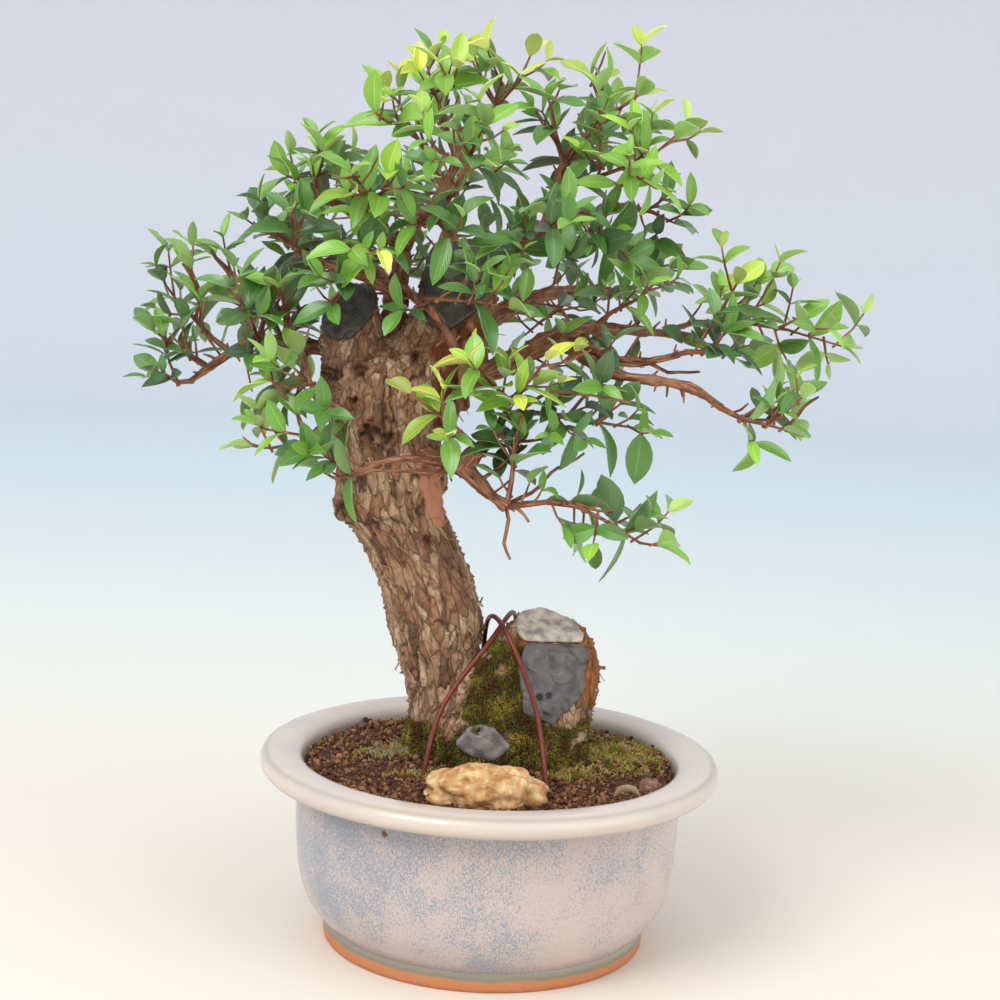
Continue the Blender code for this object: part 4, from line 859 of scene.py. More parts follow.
def glaze(pot):
    """Stoneware glaze, poured: thick and creamy on the lip, lilac with blue flecks on the wall.

    The foot is bare terracotta, which is matt, so the gloss stops at a line of thin grey-green glaze,
    darkened as painted shade in the groove above the foot.
    """
    made, add = new_material("poured_stoneware_glaze", 0.22, IOR=1.5)
    place = add("TexCoord", out="Object")
    across, _, height = add("SeparateXYZ", {0: place}, out=slice(3))
    flat = add("Mapping", {"Vector": place, "Scale": (1, 1, 0)})
    radius = add("VectorMath", {0: flat}, out="Value", operation="LENGTH")
    broad, clouds, grit = [
        add("TexNoise", {"Vector": place, "Scale": 1 / width, "Detail": 3})
        for width in (GLAZE_POOL, GLAZE_CLOUD, CLAY_GRIT)
    ]
    run = add("Mapping", {"Vector": place, "Scale": (1, 1, 0.55)})
    flecks = add("TexNoise", {"Vector": run, "Scale": 1 / pot.speck, "Detail": 2})
    # The blue lies thickest to the left and high on the wall
    left = add(
        "MapRange", {"Value": across, "From Min": -0.1, "From Max": 0.08, "To Min": 0.36, "To Max": 0.17}
    )
    high = add("MapRange", {"Value": height, "From Min": 0.02, "From Max": 0.08, "To Max": 0.05})
    density = add("Math", {0: clouds, 1: 0.6, 2: left}, operation="MULTIPLY_ADD")
    density = add("Math", {0: density, 1: high}, operation="ADD")
    dotted = add("Math", {0: flecks, 1: density}, operation="ADD")
    spread = add("MapRange", {"Value": dotted, "From Min": 1.02, "From Max": 1.2, "To Max": 0.78})
    sparse = add("MapRange", {"Value": flecks, "From Min": 0.6, "From Max": 0.75, "To Max": 0.3})
    tide = add("MapRange", {"Value": broad, "From Min": 0.45, "From Max": 0.75, "To Max": 0.6})
    # The corner under the lip, the turns of the lip and the line above the foot, where the glaze is thin; the
    # corner, the groove above the foot and the inner wall are also darkened as painted shade
    edge = add("Math", {0: clouds, 1: GLAZE_WANDER, 2: -GLAZE_WANDER / 2}, operation="MULTIPLY_ADD")
    edge = add("Math", {0: height, 1: edge})
    under_lip = pot.height - pot.lip
    corner = add("Math", {0: edge, 1: under_lip - MM, 2: CORNER_LINE_AND_SHADE}, operation="COMPARE")
    outer = add("Math", {0: radius, 1: pot.radius - 3 * MM}, operation="SUBTRACT")
    outer = add("Math", {0: outer}, operation="ABSOLUTE")
    outer = add("MapRange", {"Value": outer, "From Max": 2.4 * MM, "To Min": 0.4, "To Max": 0})
    away = add("VectorMath", {0: place, 1: seen(*CHIP)}, out="Value", operation="DISTANCE")
    away = add("Math", {0: grit, 1: 2 * MM, 2: away}, operation="MULTIPLY_ADD")
    faded = []
    # The first fade darkens the inner wall as painted shade, the second the groove above the foot
    for reach, low, high, most in [
        (radius, pot.radius - 24 * MM, pot.radius - 20 * MM, 0.6),
        (edge, pot.foot_height + MM, pot.foot_height + 7 * MM, 1),
        (edge, pot.foot_height - 0.4 * MM, pot.foot_height + 0.4 * MM, 1),
        (away, pot.chip, 1.4 * pot.chip, 1),
    ]:
        fade = add(
            "MapRange", {"Value": reach, "From Min": low, "From Max": high, "To Min": most, "To Max": 0}
        )
        faded.append(fade)
    inner, thin, bare, chip = faded
    on_lip = add(
        "MapRange", {"Value": height, "From Min": under_lip - 2 * MM, "From Max": under_lip + 3 * MM}
    )
    wall = add("Mix", {0: broad, 6: pot.lilac, 7: pot.warm}, **COLOURS)
    wall = add("Mix", {0: spread, 6: wall, 7: pot.fleck}, **COLOURS)
    face = add("Mix", {0: tide, 6: pot.cream, 7: pot.lilac}, **COLOURS)
    clay = add("Mix", {0: grit, 6: pot.clay, 7: shaded(pot.clay, 0.65)}, **COLOURS)
    # The inner wall takes the glaze line's colour as painted shade
    for cover, tone in [(outer, pot.glaze_line_and_shade), (inner, pot.glaze_line_and_shade), (sparse, pot.fleck)]:
        face = add("Mix", {0: cover, 6: face, 7: tone}, **COLOURS)
    face = add("Mix", {0: on_lip, 6: wall, 7: face}, **COLOURS)
    # Painted shade: the groove above the foot, and the corner under the lip, darker than the glaze line
    covers = [(thin, pot.glaze_line_and_shade), (corner, shaded(pot.glaze_line_and_shade, 0.8)), (chip, shaded(pot.clay, 0.2)), (bare, clay)]
    for cover, tone in covers:
        face = add("Mix", {0: cover, 6: face, 7: tone}, **COLOURS)
    gloss = add("MapRange", {"Value": bare, "To Min": 0.2, "To Max": 0.8})
    bump = add("Bump", {"Distance": GLAZE_RELIEF, "Height": clouds})
    return dressed(made, {"Base Color": face, "Roughness": gloss, "Normal": bump})


def tinted(name, roughness, colours, grit):
    """A material whose pieces each take a colour of their own from the tint attribute, rough at one scale.

    The attribute's second value is painted shade, as at the roots of a clump.
    """
    made, add = new_material(name, roughness)
    width, depth = grit
    place = add("TexCoord", out="Object")
    tint = add("Attribute", out="Color", attribute_name="tint")
    level, deep = add("SeparateColor", {0: tint}, out=slice(2))
    stops = [(number / (len(colours) - 1), tone) for number, tone in enumerate(colours)]
    tone = add("ValToRGB", {0: level}, stops=stops)
    dark = add("HueSaturation", {"Value": 0.35, "Color": tone})
    rough = add("TexNoise", {"Vector": place, "Scale": 1 / width, "Detail": 4})
    shade = add("MapRange", {"Value": rough, "From Min": 0.3, "From Max": 0.7, "To Min": 0.55, "To Max": 0})
    face = add("Mix", {0: shade, 6: tone, 7: dark}, **COLOURS)
    # Painted shade towards the roots of the moss fronds
    face = add("Mix", {0: deep, 6: face, 7: dark}, **COLOURS)
    bump = add("Bump", {"Distance": depth, "Height": rough})
    return dressed(made, {"Base Color": face, "Normal": bump})


def bark(wood):
    """Myrtle bark: flaking tan plates with dark cracks, red fibres at the forks and bare wood at the cuts.

    The crack, red, raw, mossy and peeled shares come from the mesh, so colour and relief agree. The crack
    share also holds painted shade in the knot holes and painted shadow under the edge of the old bark's
    shelf. Dry bark has no gloss.
    """
    made, add = new_material("flaking_myrtle_bark", 0.9)
    fibre = add("Attribute", out="Vector", attribute_name="fibre")
    masks, _, _, mossy = add("Attribute", out=slice(4), attribute_name="masks")
    # The crack share holds real cracks, painted shade in the knot holes and painted shadow under the shelf's
    # edge
    crack, red, raw = add("SeparateColor", {0: masks}, out=slice(3))
    peeled = add("Attribute", out="Fac", attribute_name="peeled")
    drift = add("TexNoise", {"Vector": fibre, "Scale": 1 / PLATE_DRIFT, "Detail": 4}, out=1)
    place = add("VectorMath", {0: drift, 1: (5 * MM,) * 3, 2: fibre}, operation="MULTIPLY_ADD")
    fine = add("TexNoise", {"Vector": fibre, "Scale": 1 / BARK_GRAIN, "Detail": 5, "Roughness": 0.7})
    broad = add("TexNoise", {"Vector": fibre, "Scale": 1 / BARK_PATCH, "Detail": 3})
    plate = add("TexVoronoi", {"Vector": place, "Scale": 1 / PLATE}, out="Color")
    chips = add("TexVoronoi", {"Vector": place, "Scale": 1 / PLATE}, feature="DISTANCE_TO_EDGE")
    crackle = add("TexVoronoi", {"Vector": place, "Scale": 1 / CRACKLE}, feature="DISTANCE_TO_EDGE")
    level = add("SeparateColor", {0: plate})
    level = add("Math", {0: level, 1: 0.4, 2: broad}, operation="MULTIPLY_ADD")
    tone = add("MapRange", {"Value": level, "From Min": 0.4, "From Max": 1.05})
    stops = [(0.0, wood.grey), (0.35, wood.tan), (0.7, wood.pale), (0.9, wood.tan)]
    face = add("ValToRGB", {0: tone}, stops=stops)
    # Cracks stand open in some patches only
    opened = add(
        "MapRange", {"Value": fine, "From Min": 0.38, "From Max": 0.6, "To Min": 0.15, "To Max": 0.85}
    )
    split = add("MapRange", {"Value": chips, "From Max": 0.07, "To Min": 1, "To Max": 0})
    split = add("Math", {0: split, 1: opened}, operation="MULTIPLY")
    hair = add("MapRange", {"Value": crackle, "From Max": 0.1, "To Min": 0.3, "To Max": 0})
    dapple = add("MapRange", {"Value": fine, "From Min": 0.36, "From Max": 0.54, "To Min": 0.42, "To Max": 0})
    covers = [(dapple, wood.dark), (hair, wood.dark), (split, wood.dark)]
    streaks = [(red, wood.red, 0.35, 1.5), (raw, wood.raw, 0.25, 1.3), (peeled, wood.scar, 0.55, 1.5)]
    for cover, tint, low, top in streaks:
        streak = add("Mix", {0: fine, 6: shaded(tint, low), 7: shaded(tint, top)}, **COLOURS)
        covers.append((cover, streak))
    covers += [(mossy, wood.mossy), (crack, wood.dark)]
    for cover, tone in covers:
        face = add("Mix", {0: cover, 6: face, 7: tone}, **COLOURS)
    edge = add("MapRange", {"Value": chips, "From Max": 0.12})
    height = add("Math", {0: edge, 1: fine}, operation="ADD")
    height = add("Math", {0: level, 1: 0.6, 2: height}, operation="MULTIPLY_ADD")
    smooth = add("MapRange", {"Value": peeled, "To Min": 1, "To Max": 0.2})
    bump = add("Bump", {"Strength": smooth, "Distance": BARK_RELIEF, "Height": height})
    return dressed(made, {"Base Color": face, "Normal": bump})


def branch_bark(wood):
    """Young myrtle bark: red-brown and stringy, peeling along the branch. It has only a faint sheen."""
    made, add = new_material("stringy_branch_bark", 0.7)
    fibre = add("Attribute", out="Vector", attribute_name="fibre")
    place = add("TexCoord", out="Object")
    strings = add("TexNoise", {"Vector": fibre, "Scale": 1 / BRANCH_STRING, "Detail": 4, "Roughness": 0.6})
    patches = add("TexNoise", {"Vector": place, "Scale": 1 / BRANCH_PATCH, "Detail": 3})
    stops = [(0.34, shaded(wood.twig, 0.3)), (0.5, wood.twig), (0.72, wood.peeling)]
    face = add("ValToRGB", {0: strings}, stops=stops)
    worn = add("MapRange", {"Value": patches, "From Min": 0.48, "From Max": 0.66, "To Max": 0.55})
    face = add("Mix", {0: worn, 6: face, 7: wood.tan}, **COLOURS)
    bump = add("Bump", {"Distance": BRANCH_RELIEF, "Height": strings})
    return dressed(made, {"Base Color": face, "Normal": bump})


def paste(name, tone):
    """Wound paste, smeared on with a thumb: grey, skinned over and faintly shiny, with dust in its dents."""
    made, add = new_material(name, 0.4)
    place = add("TexCoord", out="Object")
    smear = add("TexNoise", {"Vector": place, "Scale": 1 / PASTE_SMEAR, "Detail": 5})
    dust = add("TexNoise", {"Vector": place, "Scale": 1 / PASTE_DUST, "Detail": 3})
    stops = [(0.36, shaded(tone, 0.5)), (0.5, tone), (0.68, shaded(tone, 1.4))]
    face = add("ValToRGB", {0: smear}, stops=stops)
    speck = add("MapRange", {"Value": dust, "From Min": 0.6, "From Max": 0.72, "To Max": 0.4})
    face = add("Mix", {0: speck, 6: face, 7: srgb(DUST)}, **COLOURS)
    sheen = add("MapRange", {"Value": smear, "To Min": 0.25, "To Max": 0.55})
    bump = add("Bump", {"Distance": PASTE_RELIEF, "Height": smear})
    return dressed(made, {"Base Color": face, "Roughness": sheen, "Normal": bump})


def wire_coating(wire):
    """Anodised aluminium wire in copper brown: a soft metal shine along its length, dulled in patches."""
    made, add = new_material("copper_brown_anodised_aluminium", 0.35, Metallic=0.55)
    place = add("TexCoord", out="Object")
    wear = add("TexNoise", {"Vector": place, "Scale": 1 / WIRE_WEAR, "Detail": 4})
    dull = shaded(wire.coating, 0.6)
    face = add("Mix", {0: wear, 6: dull, 7: wire.coating}, **COLOURS)
    rough = add("MapRange", {"Value": wear, "To Min": 0.25, "To Max": 0.5})
    bump = add("Bump", {"Distance": WIRE_RELIEF, "Height": wear})
    return dressed(made, {"Base Color": face, "Roughness": rough, "Normal": bump})


def limestone(rock):
    """Knobbly ochre limestone: pale worn tops and rusty clefts, partly stain and partly painted shade, and no
    gloss.
    """
    made, add = new_material("knobbly_ochre_limestone", 0.85)
    place = add("TexCoord", out="Object")
    cleft = add("Attribute", out="Fac", attribute_name="cleft")
    veins = add("TexNoise", {"Vector": place, "Scale": 1 / ROCK_VEIN, "Detail": 5})
    grit = add("TexNoise", {"Vector": place, "Scale": 1 / ROCK_GRIT, "Detail": 3})
    stops = [(0.32, rock.rust), (0.47, rock.ochre), (0.62, rock.pale)]
    face = add("ValToRGB", {0: veins}, stops=stops)
    # Rust in the clefts and folds: partly stain, partly painted shade
    face = add("Mix", {0: cleft, 6: face, 7: rock.rust}, **COLOURS)
    bump = add("Bump", {"Distance": ROCK_RELIEF, "Height": grit})
    return dressed(made, {"Base Color": face, "Normal": bump})


def leaf_skin(leaf):
    """Myrtle leaf: leathery, with a waxy gloss above, a pale midrib and a paler matt underside.

    Each leaf's age, shade and side come from its tint attribute, and the veins from its own map. Real side
    veins are finer than a point of the picture, so they are drawn wider and faint.
    """
    made, add = new_material(
        "waxy_myrtle_leaf", 0.3, Subsurface_Weight=0.2, Subsurface_Scale=1.5 * MM, Coat_Weight=0.35,
        Coat_Roughness=0.22,
    )
    tint = add("Attribute", out="Color", attribute_name="tint")
    age, shade, side = add("SeparateColor", {0: tint}, out=slice(3))
    stops = [(0.0, leaf.old), (0.35, leaf.grown), (0.75, leaf.new), (1.0, leaf.bud)]
    tone = add("ValToRGB", {0: age}, stops=stops)
    value = add("MapRange", {"Value": shade, "To Min": 0.85, "To Max": 1.45})
    tone = add("HueSaturation", {"Value": value, "Color": tone})
    leaf_map = add("UVMap", uv_map="leaf")
    along, across = add("SeparateXYZ", {0: leaf_map}, out=slice(2))
    off = add("Math", {0: across, 1: 0.5}, operation="SUBTRACT")
    off = add("Math", {0: off}, operation="ABSOLUTE")
    rib = add("MapRange", {"Value": off, "From Min": 0.015, "From Max": 0.06, "To Min": 0.4, "To Max": 0})
    slant = add("Math", {0: off, 1: -0.9, 2: along}, operation="MULTIPLY_ADD")
    vein = add("Math", {0: slant, 1: 60.0}, operation="MULTIPLY")
    vein = add("Math", {0: vein}, operation="SINE")
    faint = add("MapRange", {"Value": vein, "From Min": 0.6, "From Max": 1, "To Max": 0.06})
    pale = add("HueSaturation", {"Saturation": 0.75, "Value": 1.7, "Color": tone})
    under = add("HueSaturation", {"Saturation": 0.75, "Value": 1.3, "Color": tone})
    for cover, other in [(rib, pale), (faint, pale), (side, under)]:
        tone = add("Mix", {0: cover, 6: tone, 7: other}, **COLOURS)
    gloss = add("MapRange", {"Value": side, "To Min": 0.26, "To Max": 0.55})
    bump = add("Bump", {"Distance": LEAF_RELIEF, "Height": vein})
    return dressed(made, {"Base Color": tone, "Roughness": gloss, "Normal": bump})


def backdrop(stage):
    """Painted studio paper: cream round the pot, pale blue farther back and lilac grey high behind."""
    made, add = new_material("studio_paper", 0.9)
    place = add("TexCoord", out="Object")
    _, depth, height = add("SeparateXYZ", {0: place}, out=slice(3))
    back = add("Math", {0: height, 1: 1.5, 2: depth}, operation="MULTIPLY_ADD")
    level = add("MapRange", {"Value": back, "From Max": 4.5})
    stops = [(0.02, stage.floor), (0.11, stage.haze), (0.35, stage.middle), (0.85, stage.top)]
    face = add("ValToRGB", {0: level}, stops=stops)
    return dressed(made, {"Base Color": face})


# Pot


def pot_profile(pot):
    """The pot's outline from the middle of its underside, over the lip, to the middle of its floor."""
    outer = pot.radius / MM
    wall = outer - pot.overhang / MM
    inside = wall - pot.wall / MM
    top = pot.height / MM
    under = top - pot.lip / MM
    foot = pot.foot_radius / MM
    ring = foot - FOOT_RING
    marks = [
        (0, 4), (ring - 2, 4), (ring - 0.6, 0.6), (ring + 1, 0), (foot - 1, 0), (foot, 0.8), (foot + 0.5, 5),
        (foot + 0.2, 8), (foot - 0.3, 9.6), (foot + 1.6, 12), (wall - 10, 17), (wall - 5.2, 25),
        (wall - 2.2, 37), (wall - 0.8, 52), (wall - 0.2, 68), (wall, under - 3), (wall + 0.6, under - 0.8),
        (wall + 2, under), (outer - 5.5, under + 0.8), (outer - 1.6, under + 2.6), (outer, under + 6),
        (outer - 1.2, top - 2.4), (outer - 5, top - 0.5), (outer - 10, top), (outer - 15, top - 0.4),
        (wall - 0.5, top - 1.8), (wall - 2.8, top - 4.6), (inside + 2.4, top - 10), (inside + 0.4, 66),
        (inside - 0.5, 45), (inside - 6.5, 22), (inside - 20, 11), (0, 11),
    ]
    return [(radius * MM, height * MM) for radius, height in marks]


def fine_profile(profile):
    """The outline rounded, with its flat middles left straight."""
    middle = [Vector((radius, 0, height)) for radius, height in profile[1:-1]]
    curve = [(max(point.x, 0), max(point.z, 0)) for point in smooth_route(middle, 2.2 * MM)]
    return [profile[0], *curve, profile[-1]]


class BONSAI_OT_pot(Operator):
    """Turns the glazed pot with its drain holes"""

    bl_idname = "bonsai.pot"
    bl_label = "Pot"

    def execute(self, context):
        pot = context.scene.bonsai_pot
        bm = turned(fine_profile(pot_profile(pot)), pot.sides)
        for vert in bm.verts:
            # Thrown by hand: the lip is a hair off round, and the wall wavers a little
            sway = waver(vert.co, 60) * 0.5 * MM * smoothstep(0.01, 0.06, vert.co.z)
            vert.co += Vector((vert.co.x, vert.co.y, 0)).normalized() * sway
        mesh = mesh_of(bm, "pot")
        obj = piece("glazed_pot", mesh, [glaze(pot)], "glaze", "pot")
        for side in (-1, 1):
            drill_bm = bmesh.new()
            radius = DRAIN_RADIUS * MM
            bmesh.ops.create_cone(
                drill_bm, cap_ends=True, segments=48, radius1=radius, radius2=radius, depth=40 * MM
            )
            bmesh.ops.translate(drill_bm, vec=(side * DRAIN_REACH * MM, 0, 5 * MM), verts=drill_bm.verts)
            drill = bpy.data.objects.new("drill", mesh_of(drill_bm, "drill"))
            context.scene.collection.objects.link(drill)
            hole = obj.modifiers.new("Drain hole", "BOOLEAN")
            hole.operation = "DIFFERENCE"
            hole.object = drill
            graph = context.evaluated_depsgraph_get()
            drilled = bpy.data.meshes.new_from_object(obj.evaluated_get(graph))
            obj.modifiers.clear()
            obj.data = drilled
            bpy.data.objects.remove(drill)
        obj.data.shade_smooth()
        obj.data.set_sharp_from_angle(angle=SHARP_ANGLE)
        return {"FINISHED"}


class BONSAI_OT_drain_meshes(Operator):
    """Finishes the two plastic meshes over the drain holes"""

    bl_idname = "bonsai.drain_meshes"
    bl_label = "Drain meshes"

    def execute(self, context):
        made, add = new_material("woven_black_polythene", 0.55)
        place = add("TexCoord", out="Object")
        weave = add("TexNoise", {"Vector": place, "Scale": 1 / MESH_WEAVE, "Detail": 3})
        face = add("ValToRGB", {0: weave}, stops=[(0.3, srgb("#1A1A1B")), (0.7, srgb("#33343A"))])
        bump = add("Bump", {"Distance": MESH_RELIEF, "Height": weave})
        dressed(made, {"Base Color": face, "Normal": bump})
        for name in ("drain_mesh_left", "drain_mesh_right"):
            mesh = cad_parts[name].data
            mesh.materials.clear()
            mesh.materials.append(made)
        return {"FINISHED"}


# Soil, rock and moss


def soil_height(x, y):
    """Height of the soil in metres at a place in millimetres."""
    height = bpy.context.scene.bonsai_soil.height / MM
    for centre_x, centre_y, spread, rise in SOIL_MOUNDS:
        height += rise * math.exp(-((x - centre_x) ** 2 + (y - centre_y) ** 2) / spread**2)
    return (height + SOIL_ROUGHNESS * noise.noise(Vector((x, y, 0)) / SOIL_GRAIN)) * MM


def tint_layer(bm):
    return bm.verts.layers.float_color.get("tint") or bm.verts.layers.float_color.new("tint")


def crumb(size, draw):
    """A rough crumb, squashed and turned by chance."""
    bm = bmesh.new()
    layer = tint_layer(bm)
    bmesh.ops.create_icosphere(bm, subdivisions=1, radius=size / 2)
    squash = [draw.uniform(0.6, 1.25) for _ in range(3)]
    angle = draw.uniform(0, math.tau)
    turn = Matrix.Rotation(angle, 4, Vector([draw.uniform(-1, 1) for _ in range(3)]).normalized())
    bmesh.ops.transform(bm, matrix=turn @ Matrix.Diagonal((*squash, 1)), verts=bm.verts)
    tone = draw.random()
    for vert in bm.verts:
        vert.co *= draw.uniform(0.8, 1.15)
        vert[layer] = (tone, 0, 0, 1)
    return bm


class BONSAI_OT_soil(Operator):
    """Lays the soil with its loose crumbs"""

    bl_idname = "bonsai.soil"
    bl_label = "Soil"

    def execute(self, context):
        soil = context.scene.bonsai_soil
        inside = SOIL_INSIDE
        skirt = [
            (0, SOIL_FLOOR), (inside - 20.2, SOIL_FLOOR), (inside - 7.1, 22.2), (inside - 1.1, 45),
            (inside + 1.8, soil.height / MM - 5),
        ]
        skirt = [(radius * MM, height * MM) for radius, height in skirt]
        surface = [(soil.radius * (1 - i / SOIL_RINGS), soil.height) for i in range(1, SOIL_RINGS + 1)]
        bm = turned(skirt + surface, SOIL_SIDES)
        layer = tint_layer(bm)
        for vert in bm.verts:
            if vert.co.z > soil.height - 1 * MM:
                x, y = vert.co.x / MM, vert.co.y / MM
                coarse = 1.1 * noise.noise(Vector((x, y, 3)) / 2.6)
                fine = 0.6 * noise.noise(Vector((x, y, 9)) / 1.2)
                vert.co.z = soil_height(x, y) + (coarse + fine) * MM
            vert[layer] = (0.12 + 0.15 * waver(vert.co, 4), 0, 0, 1)
        tones = [soil.dark, soil.brown, soil.pale]
        finish = tinted("damp_granular_soil", 0.95, tones, SOIL_GRIT)
        piece("soil_bed", mesh_of(bm, "soil_bed"), [finish], "soil", "soil")
        loose = tinted("loose_soil_crumbs", 0.9, tones, CRUMB_GRIT)
        piece("soil_crumbs", pile(self.crumbs(soil), "soil_crumbs"), [loose], "soil")
        self.pebble()
        return {"FINISHED"}

    def crumbs(self, soil):
        draw = random.Random("crumbs")
        for _ in range(soil.grains):
            reach = soil.radius / MM * math.sqrt(draw.random())
            around = draw.uniform(0, math.tau)
            x, y = reach * math.cos(around), reach * math.sin(around)
            size = soil.grain * draw.choice(CRUMB_SIZES)
            grain = crumb(size, draw)
            middle = Vector((x * MM, y * MM, soil_height(x, y) + draw.uniform(-0.1, 0.5) * size))
            bmesh.ops.translate(grain, vec=middle, verts=grain.verts)
            yield grain

    def pebble(self):
        """The nut-like pebble and the curled husk that lie at the right."""
        bm = bmesh.new()
        bmesh.ops.create_icosphere(bm, subdivisions=4, radius=1)
        layer = tint_layer(bm)
        for vert in bm.verts:
            rough = 1 + 0.16 * noise.noise(vert.co * 2.2) + 0.05 * noise.noise(vert.co * 7)
            vert.co = seen(*PEBBLE) + vert.co * Vector(PEBBLE_SIZE) * rough * MM
            vert[layer] = (0.5 + 0.5 * waver(vert.co, 2), 0, 0, 1)
        shell = [srgb("#5A3A30"), srgb("#8C6455"), srgb("#B08A78")]
        finish = tinted("dry_nut_shell", 0.7, shell, NUT_GRIT)
        piece("pebble", mesh_of(bm, "pebble"), [finish], "soil")
        route = smooth_route([seen(*place) for place in HUSK], 1.2 * MM)
        last = len(route) - 1
        widths = [((0.3 + 1.9 * math.sin(math.pi * i / last)) * MM, 0.35 * MM) for i in range(last + 1)]
        bm, _ = tube(route, widths, 8)
        layer = tint_layer(bm)
        for vert in bm.verts:
            vert[layer] = (0.9, 0, 0, 1)
        straw = [srgb("#8A6A48"), srgb("#C4A57C"), srgb("#E0CBA6")]
        finish = tinted("curled_dry_husk", 0.6, straw, HUSK_GRIT)
        piece("husk", mesh_of(bm, "husk"), [finish], "soil")


class BONSAI_OT_rock(Operator):
    """Shapes the knobbly rock in front of the stump"""

    bl_idname = "bonsai.rock"
    bl_label = "Rock"

    def execute(self, context):
        rock = context.scene.bonsai_rock
        across, down, depth, *half = ROCK
        centre = seen(across, down, depth)
        bm = bmesh.new()
        bmesh.ops.create_icosphere(bm, subdivisions=6, radius=1)
        cleft = bm.verts.layers.float.new("cleft")
        for vert in bm.verts:
            rough = 1 + 0.22 * noise.noise(vert.co * 2.4)
            place = Vector([c * size * rough * MM for c, size in zip(vert.co, half)])
            swirl = place + stray(place, 14) * 6 * MM
            near = noise.voronoi(swirl / rock.nodule)[0]
            border = smoothstep(0.0, 0.9, near[1] - near[0])
            wrinkle = abs(waver(swirl, 6))
            folded = 1 - smoothstep(0, 0.16, wrinkle)
            grit = waver(place, 2) * 0.15
            shift = rock.rise * (border - 0.7) + (grit - 0.4 * folded) * MM
            vert.co = centre + place + vert.co * shift
            # Rust share of the clefts and folds: partly stain, partly painted shade
            vert[cleft] = 0.6 * max(1 - smoothstep(0.0, 0.2, near[1] - near[0]), 0.6 * folded)
        piece("rock_ochre", mesh_of(bm, "rock_ochre"), [limestone(rock)], "stone", "rock")
        return {"FINISHED"}


# Wood


def bark_swelling(point, wood):
    """How far the bark stands out at a point: broad swellings with a finer roughness."""
    return wood.relief * (1.2 * noise.noise(point / wood.broad) + 0.8 * noise.noise(point / wood.fine))


def wood_column(stations, wood):
    """The tube of wood through a list of stations, rounded between them."""
    centres = [seen(across, down, depth) for across, down, depth, *_ in stations]
    marks = []
    for centre, (*_, wide, deep) in zip(centres, stations):
        marks.append(Vector((*centre, wide * MM, deep * MM)))
    route = smooth_route(marks, 4 * MM)
    points = [Vector(mark[:3]) for mark in route]
    bm, rings = tube(points, [(mark[3], mark[4]) for mark in route], 36)
    for point, ring in zip(points, rings):
        for vert in ring:
            vert.co += (vert.co - point).normalized() * bark_swelling(vert.co, wood)
    return bm


def wood_knob(wood):
    across, down, depth, *half = KNOB
    bm = bmesh.new()
    bmesh.ops.create_icosphere(bm, subdivisions=4, radius=1)
    centre = seen(across, down, depth)
    for vert in bm.verts:
        rough = 1 + 0.12 * noise.noise(vert.co * 1.6)
        vert.co = centre + Vector([c * size * rough * MM for c, size in zip(vert.co, half)])
    return bm


def saw_plane(marks):
    """A point on the plane of a saw cut, and the normal out of the wood."""
    a, b, c = (seen(*mark) for mark in marks)
    return a, (b - a).cross(c - a).normalized()


def saw(bm, marks):
    """Cuts the wood off flat at a plane."""
    point, normal = saw_plane(marks)
    bmesh.ops.bisect_plane(
        bm, geom=bm.verts[:] + bm.edges[:] + bm.faces[:], dist=1e-7, plane_co=point, plane_no=normal,
        clear_outer=True,
    )
    bmesh.ops.holes_fill(bm, edges=[edge for edge in bm.edges if edge.is_boundary], sides=0)


def trunk_axis():
    """Height and middle of the trunk at each of its stations, from the foot up."""
    middles = [seen(across, down, depth) for across, down, depth, *_ in TRUNK]
    return [(middle.z, middle) for middle in middles]


def axis_at(axis, height):
    for (low, start), (high, end) in zip(axis, axis[1:]):
        if height <= high:
            return start.lerp(end, min(1, max(0, (height - low) / (high - low))))
    return axis[-1][1]


def along_grain(point, axis):
    """The point as the grain sees it: across from the trunk's middle, and drawn out along it."""
    middle = axis_at(axis, point.z)
    return Vector((point.x - middle.x, point.y - middle.y, point.z * GRAIN_DRAW))


def red_share(point, front):
    """How red and fibrous the bark is: at the marked places, and everywhere high up near the forks."""
    high = smoothstep(0.29, 0.33, point.z + 0.025 * waver(point, 12))
    patchy = 0.35 * waver(point, 6)
    marked = smoothstep(0.05, 0.5, nearness(point, RED_BARK) + patchy) if front else 0
    return max(marked, 0.75 * high)


def sawn_share(vert, point, normal):
    """How surely the corner lies on the flat face of a saw cut."""
    if vert.normal.dot(normal) < 0.8:
        return 0
    return 1 - smoothstep(0.3 * MM, 2 * MM, abs((vert.co - point).dot(normal)))


def bark_shelf(vert):
    """From 0 to 1: how far the old bark's shelf stands out at a corner, and how much painted shadow lies
    there under its edge.
    """
    top, edge, reach = BARK_SHELF
    across, down = shown_at(vert.co)
    if vert.normal.y > 0.4 or across > reach:
        return 0, 0
    ragged = down + 9 * waver(vert.co, 10)
    ended = smoothstep(edge, edge + 13, ragged)
    near = smoothstep(0, 60, reach - across)
    return smoothstep(top, edge, down) * (1 - ended) * near, 4 * ended * (1 - ended) * near


